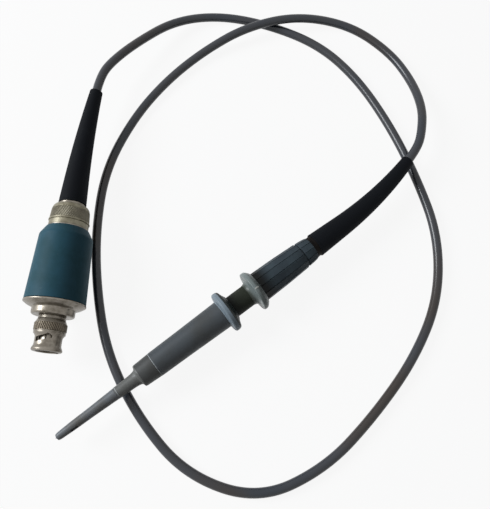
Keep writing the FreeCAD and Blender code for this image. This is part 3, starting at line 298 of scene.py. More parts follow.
@dataclass(frozen=True)
class Finish:
    """A surface: its record slot, two colours that it wanders between, and its gloss."""

    slot: str
    colour: Colour
    second: Colour
    rough: float = 0.45
    patch: float = 6.0
    grain: float = 0.25
    relief: float = 0.01

    @cache
    def build(self, axis: Axis) -> bpy.types.Material:
        """Makes the material once for each axis.

        Args:
            axis: The axis that its pattern lies along.

        Returns:
            The material.
        """
        material = bpy.data.materials.new(f"{self.slot}_{axis.heading:.0f}")
        self.paint(Pattern(material, axis))
        return material

    def paint(self, board: Pattern) -> None:
        """Fills the board."""
        raise NotImplementedError


@dataclass(frozen=True)
class Metal(Finish):
    """Turned and plated metal with lathe rings, smudges and tarnish in patches."""

    rings: float = 0.22
    metallic: float = 1.0

    def add_grime_and_groove_shade(self, board: Pattern, colour: Value) -> Value:
        """The colour with its grime and painted groove shade; plain turned metal has none."""
        return colour

    def paint(self, board: Pattern) -> None:
        """Fills the board."""
        tarnish = board.noise(self.patch, 4, 0.6).ramp(0.4, 0.68)
        rings = board.rings(self.rings)
        smudge = board.noise(self.patch * 0.35, 3, 0.6)
        colour = board.mix(tarnish * 0.8, self.colour, self.second)
        dull = board.mix(0.5, self.second, (0.02, 0.02, 0.02))
        board.finish({
            "Base Color": self.add_grime_and_groove_shade(board, board.mix(rings.ramp(0.62, 0.8) * 0.25, colour, dull)),
            "Metallic": self.metallic,
            "Roughness": self.rough + (smudge - 0.5) * 0.25 + (rings - 0.5) * 0.12,
            "Normal": board.bump(rings * 0.6 + board.noise(self.grain, 2) * 0.4, self.relief),
        })


@dataclass(frozen=True)
class KnurledMetal(Metal):
    """Metal with a browner grime tint over its knurled band and painted shade darkening the knurl's grooves.
    """

    start: float = 0.0
    end: float = 1.0
    teeth: int = 40
    lean: float = 2.0
    # Brown-black tone: a grime tint over the knurled band, and painted shade in its grooves.
    grime_and_groove_shade: Colour = shade(34, 28, 20)

    def sizes(self) -> dict[str, float]:
        """The knurl's place, teeth and lean, as its rule takes them."""
        return {"start": self.start, "end": self.end, "teeth": self.teeth, "lean": self.lean}

    def add_grime_and_groove_shade(self, board: Pattern, colour: Value) -> Value:
        """The colour, tinted browner over the band and darkened in the grooves as painted shade."""
        inside = board.along.ramp(self.start, self.start + 0.2)
        band = inside * (1 - board.along.ramp(self.end - 0.2, self.end))
        angle = board.math("ARCTAN2", board.up, board.side)
        phase = angle * (self.teeth / (2 * math.pi)) + (board.along - self.start) * (
            self.lean / (self.end - self.start))
        # A browner tint over the whole band, and painted shade darkening each groove.
        groove = 1 - phase.wave().ramp(0.15, 0.6)
        return board.mix(band * (0.25 + groove * 0.6), colour, self.grime_and_groove_shade)


@dataclass(frozen=True)
class Moulded(Finish):
    """Moulded plastic: a fine spark grain, faint flow patches, dust and handling gloss.

    Its colour can change to a third one from one station to another; on the core, the front flange and the
    grip this paints shade and light.
    """

    dust: float = 0.06
    third: Colour = (0.0, 0.0, 0.0)
    change: tuple[float, float] = (0.0, 0.0)
    shine: float = 0.3

    def paint(self, board: Pattern) -> None:
        """Fills the board."""
        patches = board.noise(self.patch, 3, 0.55).ramp(0.3, 0.72)
        grain = board.noise(self.grain, 3, 0.6)
        specks = board.noise(self.grain * 2.5, 2, 0.5).ramp(0.7, 0.78)
        colour = board.mix(patches, self.colour, self.second)
        # A third colour over a span of stations: painted shadow on the core and the grip, painted light and
        # shade on the front flange.
        if self.change[1] > self.change[0]:
            colour = board.mix(board.along.ramp(*self.change), self.third, colour)
        pale = tuple(part * 1.6 + 0.05 for part in self.colour)
        board.finish({
            "Base Color": board.mix(specks * self.dust, colour, pale),
            "Roughness": self.rough + (patches - 0.5) * 0.1 + (grain - 0.5) * 0.12,
            "Specular IOR Level": self.shine,
            "Normal": board.bump(grain, self.relief),
        })


@dataclass(frozen=True)
class Rubber(Finish):
    """Soft rubber with a matt skin, long scuffs and a little dust."""

    def paint(self, board: Pattern) -> None:
        """Fills the board."""
        skin = board.noise(self.grain, 4, 0.65)
        scuffs = board.noise(1.4, 3, 0.6, board.join(board.along * 0.2, board.side, board.up))
        worn = board.noise(self.patch, 3, 0.6).ramp(0.5, 0.75) * scuffs.ramp(0.45, 0.75)
        board.finish({
            "Base Color": board.mix(worn, self.colour, self.second),
            "Roughness": self.rough + (skin - 0.5) * 0.15 - worn * 0.08,
            "Specular IOR Level": 0.1,
            "Normal": board.bump(skin * 0.7 + scuffs * 0.3, self.relief),
        })


@dataclass(frozen=True)
class Enamel(Finish):
    """Satin enamel on the barrel: fine orange peel, a worn front edge and hairline scratches."""

    edge: float = 22.05
    bare: Colour = shade(150, 152, 140)

    def paint(self, board: Pattern) -> None:
        """Fills the board."""
        peel = board.noise(self.grain, 2, 0.5)
        cloud = board.noise(self.patch, 3, 0.6).ramp(0.3, 0.7)
        nick = board.noise(1.1, 3, 0.7)
        wear = (1 - (board.along + nick * 0.5).ramp(self.edge, self.edge + 0.45)) * 0.8
        hair = board.noise(0.5, 2, 0.6, board.join(board.along * 0.9, board.side * 0.12, board.up * 0.5))
        scratch = hair.ramp(0.73, 0.76) * 0.25
        colour = board.mix(cloud, self.colour, self.second)
        board.finish({
            "Base Color": board.mix(wear + scratch, colour, self.bare),
            "Roughness": self.rough + (peel - 0.5) * 0.1 + (cloud - 0.5) * 0.06,
            "Specular IOR Level": 0.14,
            "Normal": board.bump(peel, self.relief),
        })


@dataclass(frozen=True)
class Jacket(Finish):
    """The lead's vinyl jacket: long brown and blue stretches, faint handling marks."""

    third: Colour = shade(54, 60, 69)

    def paint(self, board: Pattern) -> None:
        """Fills the board."""
        brown = board.noise(self.patch * 4, 2, 0.5).ramp(0.48, 0.66)
        blue = board.noise(self.patch * 3, 2, 0.5, board.join(board.up, board.along, board.side))
        marks = board.noise(self.patch * 0.2, 3, 0.6)
        grain = board.noise(self.grain, 2, 0.5)
        cool = board.mix(blue.ramp(0.45, 0.65), self.colour, self.third)
        board.finish({
            "Base Color": board.mix(brown * 0.7 + (marks - 0.5) * 0.2, cool, self.second),
            "Roughness": self.rough + (marks - 0.5) * 0.12,
            "Specular IOR Level": 0.42,
            "Normal": board.bump(grain * 0.5 + marks * 0.5, self.relief),
        })


NICKEL = Metal("nickel_plate", shade(148, 141, 130), shade(92, 84, 72), 0.32, 5.0, 0.12, 0.004, metallic=0.6)
NUT_KNURL = KnurledMetal("nickel_plate", shade(132, 121, 104), shade(90, 80, 66), 0.36, 5.0, 0.12, 0.004,
                         metallic=0.55, start=9.1, end=12.5, teeth=42, lean=2.2)
AGED_NICKEL = KnurledMetal("aged_nickel", shade(150, 144, 124), shade(112, 106, 86), 0.42, 4.0, 0.15, 0.006,
                           metallic=0.45, start=61.0, end=66.1, teeth=68, lean=4.6)
SPRING_STEEL = Metal("spring_steel", shade(150, 150, 152), shade(98, 96, 94), 0.3, 3.0, 0.1, 0.003)
GOLD = Metal("gold_contact", shade(206, 164, 84), shade(150, 112, 54), 0.25, 2.0, 0.1, 0.002)
BRASS = Metal("brass_tube", shade(176, 144, 80), shade(120, 94, 48), 0.33, 4.0, 0.12, 0.004)
BARREL_PAINT = Enamel("barrel_paint", shade(46, 86, 102), shade(40, 77, 88), 0.55, 9.0, 0.22, 0.006)
NOSE = Moulded("nose_plastic", shade(120, 126, 132), shade(104, 104, 102), 0.42, 7.0, 0.2, 0.006)
NOSE_REAR = Moulded("nose_plastic", shade(114, 116, 114), shade(100, 100, 98), 0.45, 7.0, 0.2, 0.006)
SLEEVE = Moulded("sleeve_plastic", shade(80, 86, 91), shade(73, 76, 77), 0.5, 9.0, 0.25, 0.008)
COLLAR = Moulded("collar_plastic", shade(82, 84, 84), shade(74, 75, 74), 0.52, 6.0, 0.22, 0.008)
# Near-white rings on the seams: a painted highlight along each raised seam.
SEAM_HIGHLIGHT = Moulded("nose_plastic", shade(196, 202, 206), shade(176, 182, 184), 0.4, 4.0, 0.2, 0.003)
# The core turns near-black towards the front flange: painted shadow, fading out by station 101.
CORE = Moulded("core_plastic", shade(54, 58, 50), shade(44, 48, 40), 0.55, 6.0, 0.25, 0.004, 0.03,
               third=shade(6, 9, 9), change=(93.0, 101.0), shine=0.1)
# Front flange: pale on its front face as painted light, dark behind as painted shade.
FLANGE = Moulded("sleeve_plastic", shade(30, 38, 38), shade(24, 30, 30), 0.45, 6.0, 0.25, 0.005,
                 third=shade(136, 150, 160), change=(91.0, 91.25))
GUARD = Moulded("guard_plastic", shade(138, 148, 148), shade(130, 140, 138), 0.34, 6.0, 0.25, 0.002, 0.02,
                third=shade(60, 66, 58), change=(103.0, 105.6))
# The grip is near-black next to the rear flange: painted shadow, fading out by station 117.5.
GRIP = Moulded("grip_plastic", shade(66, 78, 85), shade(56, 65, 72), 0.5, 6.0, 0.25, 0.004, 0.05,
               third=shade(4, 6, 6), change=(110.5, 117.5), shine=0.15)
BOOT = Rubber("boot_rubber", shade(10, 13, 18), shade(24, 28, 32), 0.7, 8.0, 0.3, 0.012)
JACKET = Jacket("cable_jacket", shade(66, 68, 73), shade(62, 51, 42), 0.26, 14.0, 0.35, 0.005)
INSULATOR = Moulded("white_insulator", shade(226, 224, 214), shade(206, 202, 188), 0.4, 4.0, 0.2, 0.004)
RESISTOR = Moulded("resistor_body", shade(150, 116, 84), shade(132, 98, 70), 0.4, 3.0, 0.2, 0.004)
GASKET = Rubber("gasket_rubber", shade(84, 40, 32), shade(110, 66, 54), 0.6, 3.0, 0.2, 0.006)
GLAND = Moulded("gland_plastic", shade(18, 14, 12), shade(10, 8, 8), 0.55, 3.0, 0.2, 0.004, 0.02, shine=0.08)
MARK = Moulded("guard_plastic", shade(226, 228, 222), shade(206, 208, 200), 0.5, 2.0, 0.2, 0.003)


@dataclass(frozen=True)
class Corner:
    """A corner of a turned outline, cut back along both edges by soft and rounded."""

    at: float
    radius: float
    soft: float = 0.0
    steps: int = 3


def outline(corners: Sequence[Corner], closed: bool) -> list[tuple[float, float]]:
    """Rounds an outline's corners, each with a short flat lead on both sides.

    Args:
        corners: The corners in order.
        closed: Whether the last is joined to the first.

    Returns:
        Stations and radii.
    """
    shared_room, free_room, flat_lead = 0.48, 0.9, 0.15
    count = len(corners)
    points: list[tuple[float, float]] = []
    for index, corner in enumerate(corners):
        open_end = not closed and index in (0, count - 1)
        here = Vector((corner.at, corner.radius))
        if corner.soft <= 0 or open_end:
            points.append((corner.at, corner.radius))
            continue
        ends = []
        for other in (corners[index - 1], corners[(index + 1) % count]):
            edge = Vector((other.at, other.radius)) - here
            room = edge.length * (shared_room if other.soft > 0 else free_room)
            reach = min(corner.soft, room)
            edge.normalize()
            ends.append((here + edge * reach, edge * min(reach * flat_lead, room - reach + 1e-4)))
        (before, lead), (after, trail) = ends
        points.append(tuple(before + lead))
        for step in range(corner.steps + 1):
            share = step / corner.steps
            point = before * (1 - share) ** 2 + here * 2 * share * (1 - share) + after * share ** 2
            points.append(tuple(point))
        points.append(tuple(after + trail))
    return points


@dataclass(frozen=True)
class Bend:
    """A centre line that runs straight and then turns to one side by turn degrees over arc."""

    start: float
    straight: float
    arc: float
    turn: float

    def place(self, along: float, side: float, up: float) -> Vector:
        """The point beside the bent line.

        Args:
            along: Length along the line from its start.
            side: Offset to the left of the line.
            up: Offset upwards.

        Returns:
            The point on the straight axis' own coordinates.
        """
        past = along - self.straight
        if past <= 0:
            return Vector((self.start + along, side, up))
        radius = self.arc / math.radians(self.turn)
        angle = past / radius
        reach = radius - side
        return Vector((self.start + self.straight + reach * math.sin(angle),
                       radius - reach * math.cos(angle), up))


def skin(name: str, rings: Rings, loop: bool = False, ends: bool = False) -> Mesh:
    """Skins rings of points; a ring of one point is a pole.

    Args:
        name: The mesh's name.
        rings: The rings in order.
        loop: Whether the last ring meets the first.
        ends: Whether a flat face closes the first ring and the last.

    Returns:
        The mesh, with its faces outwards.
    """
    build = bmesh.new()
    rows = [[build.verts.new(point) for point in ring] for ring in rings]
    pairs = list(zip(rows, rows[1:]))
    if loop:
        pairs.append((rows[-1], rows[0]))
    for first, second in pairs:
        for index in range(max(len(first), len(second))):
            after = index + 1
            corners = (first[index % len(first)], first[after % len(first)],
                       second[after % len(second)], second[index % len(second)])
            unique = list(dict.fromkeys(corners))
            if len(unique) > 2:
                build.faces.new(unique)
    if ends:
        build.faces.new(rows[0])
        build.faces.new(rows[-1])
    bmesh.ops.recalc_face_normals(build, faces=build.faces)
    mesh = bpy.data.meshes.new(name)
    build.to_mesh(mesh)
    build.free()
    return mesh


def turned(name: str, spots: Spots, segments: int, bend: Bend | None = None) -> Mesh:
    """Turns an outline round the axis. An outline that ends on the axis has poles there.

    Args:
        name: The mesh's name.
        spots: The outline's corners, each as a Corner's values; without poles it is closed.
        segments: Facets round the axis.
        bend: A bent centre line, for a sleeve that is not straight.

    Returns:
        The mesh in millimetres on the axis.
    """
    corners = [Corner(*spot) for spot in spots]
    solid = corners[0].radius < 1e-6
    rings = []
    for along, radius in outline(corners, closed=not solid):
        count = 1 if radius < 1e-6 else segments
        ring = []
        for index in range(count):
            angle = 2 * math.pi * index / segments
            side, up = radius * math.cos(angle), radius * math.sin(angle)
            ring.append(bend.place(along, side, up) if bend else Vector((along, side, up)))
        rings.append(ring)
    return skin(name, rings, loop=not solid)


def prism(flat: Spots, low: float, high: float, turn: float = 0.0) -> Mesh:
    """A cutter with a flat outline, that reaches upwards.

    Args:
        flat: Stations and sideways places.
        low: Height where it starts.
        high: Height where it ends.
        turn: Degrees that it is turned about the axis.

    Returns:
        The mesh.
    """
    rings = [[Vector((at, side, up)) for at, side in flat] for up in (low, high)]
    mesh = skin("cutter", rings, ends=True)
    mesh.transform(Matrix.Rotation(math.radians(turn), 4, "X"))
    return mesh


def linked(name: str, data: bpy.types.ID) -> Object:
    """A new object of the scene.

    Args:
        name: Its name.
        data: Its mesh, curve, lamp or camera.

    Returns:
        The object.
    """
    obj = bpy.data.objects.new(name, data)
    bpy.context.scene.collection.objects.link(obj)
    return obj


def evaluated(obj: Object) -> Mesh:
    """The plain mesh that an object's modifiers make."""
    return bpy.data.meshes.new_from_object(obj.evaluated_get(bpy.context.evaluated_depsgraph_get()))


def carved(mesh: Mesh, cutters: Sequence[Mesh]) -> Mesh:
    """Cuts openings into a closed mesh.

    Args:
        mesh: The mesh.
        cutters: Closed meshes that are taken out of it.

    Returns:
        The new mesh.
    """
    body = linked("blank", mesh)
    tools = [linked("cutter", cutter) for cutter in cutters]
    for tool in tools:
        cut = body.modifiers.new("cut", "BOOLEAN")
        cut.operation = "DIFFERENCE"
        cut.solver = "EXACT"
        cut.object = tool
    result = evaluated(body)
    for item in [body, *tools]:
        bpy.data.objects.remove(item)
    return result


class Rule:
    """A Geometry Nodes tree with named inputs that shapes or adds to a turned blank."""

    inputs: Mapping[str, str] = {}

    def __init__(self) -> None:
        """Makes the tree and its inputs, by name and socket type, after the geometry."""
        self.tree = bpy.data.node_groups.new(type(self).__name__, "GeometryNodeTree")
        sockets = {"Geometry": "Geometry", **self.inputs, "Material": "Material"}
        for label, kind in sockets.items():
            self.tree.interface.new_socket(label, in_out="INPUT", socket_type=f"NodeSocket{kind}")
        self.tree.interface.new_socket("Geometry", in_out="OUTPUT", socket_type="NodeSocketGeometry")
        self.graph = Graph(self.tree)
        self.entry = self.graph.node("NodeGroupInput")
        self.wire()

    def given(self, name: str) -> Value:
        """One of the tree's inputs."""
        return self.graph.out(self.entry, name)

    def wire(self) -> None:
        """Fills the tree."""
        raise NotImplementedError

    def close(self, geometry: Value) -> None:
        """Ends the tree: instances made real, material set."""
        graph = self.graph
        real = graph.value("GeometryNodeRealizeInstances", {"Geometry": geometry})
        sockets = {"Geometry": real, "Material": self.given("Material")}
        dressed = graph.value("GeometryNodeSetMaterial", sockets)
        graph.node("NodeGroupOutput", {"Geometry": dressed})

    def polar(self) -> tuple[Value, Value, Value, Value, Value]:
        """A point's station, sideways and upward places, angle and radius."""
        graph = self.graph
        along, side, up = graph.split(graph.value("GeometryNodeInputPosition"))
        angle = graph.math("ARCTAN2", up, side)
        radius = graph.math("SQRT", side * side + up * up)
        return along, side, up, angle, radius

    def reshape(self, along: Value, side: Value, up: Value, share: Value) -> Value:
        """The geometry with each point drawn towards the axis to a share of its radius."""
        return self.graph.value("GeometryNodeSetPosition", {
            "Geometry": self.given("Geometry"),
            "Position": self.graph.join(along, side * share, up * share)})

    def run(self, mesh: Mesh, material: bpy.types.Material, **sizes: float) -> Mesh:
        """Runs the tree on a blank.

        Args:
            mesh: The blank, in millimetres on the axis.
            material: The material that it gets.
            **sizes: The tree's inputs, with _ for a space.

        Returns:
            The shaped mesh.
        """
        blank = linked("blank", mesh)
        modifier = blank.modifiers.new("rule", "NODES")
        modifier.node_group = self.tree
        values = {key.replace("_", " ").title(): size for key, size in sizes.items()}
        values["Material"] = material
        for item in self.tree.interface.items_tree:
            if item.in_out == "INPUT" and item.name in values:
                modifier[item.identifier] = values[item.name]
        result = evaluated(blank)
        blank.modifiers.clear()
        bpy.data.objects.remove(blank)
        return result


class Knurl(Rule):
    """Rolls a diamond knurl into a band of a blank by two crossing sets of grooves."""

    inputs = {"Start": "Float", "End": "Float", "Teeth": "Int", "Lean": "Float", "Depth": "Float",
              "Bore": "Float", "Fade": "Float"}

    def wire(self) -> None:
        """Fills the tree."""
        graph = self.graph
        along, side, up, angle, radius = self.polar()
        start, end, fade = self.given("Start"), self.given("End"), self.given("Fade")
        band = along.ramp(start, start + fade) * (1 - along.ramp(end - fade, end))
        outside = graph.math("GREATER_THAN", radius, self.given("Bore"))
        phase = angle * self.given("Teeth") / (2 * math.pi)
        lean = (along - start) / (end - start) * self.given("Lean")
        ridges = (phase + lean).wave()
        crossed = (phase - lean + 0.5).wave()
        crossed_share, crest = 0.2, 1.4
        height = ridges * (1 - crossed_share) + crossed * crossed_share
        flat = graph.math("MINIMUM", height * crest, 1.0)
        depth = self.given("Depth") * band * outside * (1 - flat)
        self.close(self.reshape(along, side, up, (radius - depth) / radius))


class Facets(Rule):
    """Gives a round blank flat sides with a thin groove down each corner."""

    inputs = {"Sides": "Int", "Turn": "Float", "Groove Width": "Float", "Groove Depth": "Float",
              "Groove Start": "Float", "Groove End": "Float", "Bore": "Float"}

    def wire(self) -> None:
        """Fills the tree."""
        graph = self.graph
        along, side, up, angle, radius = self.polar()
        pitch = 2 * math.pi / self.given("Sides")
        past = graph.math("WRAP", angle - self.given("Turn"), pitch, 0.0)
        middle = past - pitch / 2
        flat = graph.math("COSINE", pitch / 2) / graph.math("COSINE", middle)
        outside = graph.math("GREATER_THAN", radius, self.given("Bore"))
        off = radius * graph.math("MINIMUM", past, pitch - past)
        half = self.given("Groove Width") / 2
        groove = 1 - off.ramp(half * 0.75, half * 1.25)
        blur = 0.05
        opens, closes = (along.ramp(self.given(name) - blur, self.given(name) + blur)
                         for name in ("Groove Start", "Groove End"))
        reach = opens * (1 - closes)
        depth = self.given("Groove Depth") * groove * reach
        share = 1 + outside * (flat - 1) - outside * depth / radius
        self.close(self.reshape(along, side, up, share))


class RingRow(Rule):
    """Sets a row of raised rings round the axis on a blank."""

    inputs = {"Count": "Int", "First": "Float", "Pitch": "Float", "Ring Radius": "Float",
              "Wire Radius": "Float"}

    def wire(self) -> None:
        """Fills the tree."""
        graph = self.graph
        circle, wire = (graph.value("GeometryNodeCurvePrimitiveCircle", {
            "Resolution": facets, "Radius": self.given(name)})
            for facets, name in ((96, "Ring Radius"), (12, "Wire Radius")))
        ring = graph.value("GeometryNodeCurveToMesh", {"Curve": circle, "Profile Curve": wire})
        upright = graph.value("GeometryNodeTransform", {"Geometry": ring, "Rotation": (0, math.pi / 2, 0)})
        start, step = (graph.join(self.given(name), 0.0, 0.0) for name in ("First", "Pitch"))
        row = graph.value("GeometryNodeMeshLine", {
            "Count": self.given("Count"), "Start Location": start, "Offset": step})
        rings = graph.value("GeometryNodeInstanceOnPoints", {"Points": row, "Instance": upright})
        joined = graph.node("GeometryNodeJoinGeometry", {"Geometry": rings})
        graph.tree.links.new(self.given("Geometry").socket, joined.inputs[0])
        self.close(graph.out(joined))


@dataclass(frozen=True)
class Rules:
    """The three rules that shape what repeats on the probe."""

    knurl: Knurl
    facets: Facets
    rings: RingRow


class Assembly:
    """Something that is built from pieces on one axis."""

    axis: Axis = WORLD_AXIS

    def set_piece(self, name: str, mesh: Mesh, finish: Finish, body: Body, *nodes: str) -> None:
        """Sets a mesh in its place, dresses it and lets it ride.

        Args:
            name: The piece's name.
            mesh: The mesh in millimetres on the axis.
            finish: Its finish.
            body: The body that it moves with.
            *nodes: CAD nodes that it stands for.
        """
        mesh.transform(self.axis.matrix())
        mesh.materials.clear()
        mesh.materials.append(finish.build(self.axis))
        mesh.polygons.foreach_set("use_smooth", [True] * len(mesh.polygons))
        mesh.set_sharp_from_angle(angle=SHARP_EDGE)
        mesh.update()
        self.join_frame(linked(name, mesh), finish, body, *nodes)

    def join_frame(self, piece: Object, finish: Finish, body: Body, *nodes: str) -> None:
        """Lets a piece ride on a body and stand for its CAD nodes."""
        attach(piece, body.value)
        if nodes:
            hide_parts(*nodes)
        LOG.info("%s rides on %s and stands for %s", piece.name, body.value, nodes or "nothing")

    def turn_piece(self, name: str, finish: Finish, body: Body, segments: int, spots: Spots,
                   *nodes: str) -> None:
        """Turns an outline into a piece.

        Args:
            name: The piece's name.
            finish: Its finish.
            body: The body that it moves with.
            segments: Facets round the axis.
            spots: The outline's corners.
            *nodes: CAD nodes that it stands for.
        """
        self.set_piece(name, turned(name, spots, segments), finish, body, *nodes)

    def set_boot(self, side: str, bend: Bend, base: float, end: float, core_length: float) -> None:
        """Sets a tapered boot and the lead's clamped end inside it.

        Args:
            side: The side of the lead, as the names of the nodes have it.
            bend: The centre line.
            base: The boot's radius at its base.
            end: Its radius at its end.
            core_length: Length of the lead's bare core.
        """
        length = bend.straight + bend.arc
        slope = (base - end) / length
        rest, cells = length - BOOT_SEAT, 16
        alongs = [1.6 + (length - 3.0) * step / 24 for step in range(25)]
        sleeve = turned(f"{side}_boot", [
            (0.0, FERRULE_BORE), (0.0, base, 0.35, 4), (1.1, base - slope * 1.1 + 0.02, 0.3, 3),
            (1.25, base - slope * 1.3 - 0.12), *((along, base - slope * along) for along in alongs),
            (length - 0.6, end + 0.08, 0.3, 3), (length, end - 0.1, 0.55, 5),
            *((length - (rest - 0.1) * cell / cells, BOOT_BORE) for cell in range(cells + 1)),
            (BOOT_SEAT, BOOT_BORE), (BOOT_SEAT, FERRULE_BORE)], 96, bend)
        self.set_piece(f"{side}_boot_sleeve", sleeve, BOOT, Body.MAIN, f"{side}_boot")
        lead = turned(f"{side}_lead_end", [
            (BOOT_SEAT - core_length, 0.0), (BOOT_SEAT - core_length, CORE_RADIUS), (BOOT_SEAT, CORE_RADIUS),
            *((BOOT_SEAT + rest * cell / cells, JACKET_RADIUS) for cell in range(cells + 1)),
            (length, 0.0)], 48, bend)
        self.set_piece(f"{side}_lead_end", lead, JACKET, Body.MAIN, f"cable_end_{side}")

    def dress_nodes(self, finishes: Mapping[str, Finish]) -> None:
        """Gives CAD nodes that stay their finish.

        Args:
            finishes: Finish of each node.
        """
        for node, finish in finishes.items():
            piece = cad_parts[node]
            material = finish.build(self.axis)
            if not piece.material_slots:
                piece.data.materials.append(material)
            for place in piece.material_slots:
                place.material = material
            LOG.info("%s is dressed in %s", node, finish.slot)

    def give_way(self, node: str, joint: str, foot: float, keep: float) -> None:
        """Gives a spring's node a mesh of its own; nothing here shortens it as a joint moves.

        Args:
            node: The spring's node.
            joint: The joint that presses it; not used.
            foot: Station of its end that stays; not used.
            keep: Share of its length that is left at the limit; not used.
        """
        matrix = self.axis.matrix()
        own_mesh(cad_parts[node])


@dataclass
class BayonetPlug(Assembly):
    """The plug: coupling nut with its slots and knurl, and what shows in its mouth."""

    rules: Rules
    axis: Axis = BOX_AXIS
    bore: float = 4.9
    back_hole: float = 4.1
    lip: float = 6.85
    band: float = 5.95
    shoulder: float = 7.0
    knurl_start: float = NUT_KNURL.start
    knurl_end: float = NUT_KNURL.end
    knurl_radius: float = 7.2
    knurl_depth: float = 0.3
    slot_turn: float = -14.0
    entry_turn: float = -50.0
    detent_at: float = 6.4
    detent_side: float = -3.1
    detent_radius: float = 1.2
    entry_depth: float = 0.7
    washer_foot: float = 11.5
    washer_keep: float = 0.2

    def build(self) -> None:
        """Builds and dresses the plug."""
        self.make_nut()
        self.make_knurl()
        self.dress_nodes({
            "bnc_shell": NICKEL, "bnc_gasket": GASKET, "bnc_insulator": INSULATOR,
            "bnc_pin": GOLD, "bnc_wave_washer": SPRING_STEEL, "bnc_thrust_washer": SPRING_STEEL})
        self.give_way("bnc_wave_washer", "nut_float", self.washer_foot, self.washer_keep)

    def make_nut(self) -> None:
        """The nut with its rolled lip, beads, bore and two bayonet slots."""
        wall = turned("coupling_nut", [
            (0.0, 5.1, 0.15), (0.0, 6.3, 0.5, 5), (0.6, self.lip, 0.6, 5), (1.5, self.lip - 0.25, 0.8, 5),
            (2.6, self.band, 0.9, 5), (6.7, self.band, 0.7, 4), (7.8, self.shoulder - 0.1, 0.4, 4),
            (self.knurl_start, self.shoulder - 0.15, 0.0), (self.knurl_start, 6.75),
            (self.knurl_end, 6.75), (self.knurl_end + 0.02, 7.0, 0.1), (14.3, 6.15, 0.35, 4),
            (14.3, self.back_hole, 0.1), (12.9, self.back_hole, 0.05), (12.9, self.bore, 0.1),
            (0.25, self.bore, 0.1)], 128)
        beaded = self.rules.rings.run(
            carved(wall, self.cutters()), NICKEL.build(self.axis), count=2, first=8.05, pitch=0.68,
            ring_radius=6.78, wire_radius=0.27)
        self.set_piece("coupling_nut", beaded, NICKEL, Body.NUT, "bnc_nut")

    def cutters(self) -> list[Mesh]:
        """The slots, their detents and the entry grooves, on two opposite sides."""
        inside, outside = 2.0, 9.0
        slot = [(3.7, 3.1), (5.9, 3.1), (7.5, -3.1), (5.3, -3.1)]
        detent = [(self.detent_at + self.detent_radius * math.cos(math.radians(15 * step)),
                   self.detent_side + self.detent_radius * math.sin(math.radians(15 * step)))
                  for step in range(24)]
        entry = [(-1.0, -1.1), (4.8, -1.1), (4.8, 1.1), (-1.0, 1.1)]
        made = []
        for turn in (0.0, 180.0):
            made.append(prism(slot, inside, outside, self.slot_turn + turn))
            made.append(prism(detent, inside, outside, self.slot_turn + turn))
            made.append(prism(entry, inside, self.bore + self.entry_depth, self.entry_turn + turn))
        return made

    def make_knurl(self) -> None:
        """The knurled grip ring, pressed on the nut."""
        rows = 30
        step = (self.knurl_end - self.knurl_start) / rows
        face = [(self.knurl_start + step * row, self.knurl_radius) for row in range(1, rows)]
        blank = turned("nut_knurl", [
            (self.knurl_start, 6.6), (self.knurl_start, self.knurl_radius - 0.25, 0.0), *face,
            (self.knurl_end, self.knurl_radius - 0.25), (self.knurl_end, 6.6)], 504)
        knurled = self.rules.knurl.run(blank, NUT_KNURL.build(self.axis), **NUT_KNURL.sizes(),
                                       depth=self.knurl_depth, bore=6.9, fade=0.3)
        self.set_piece("coupling_nut_knurl", knurled, NUT_KNURL, Body.NUT)


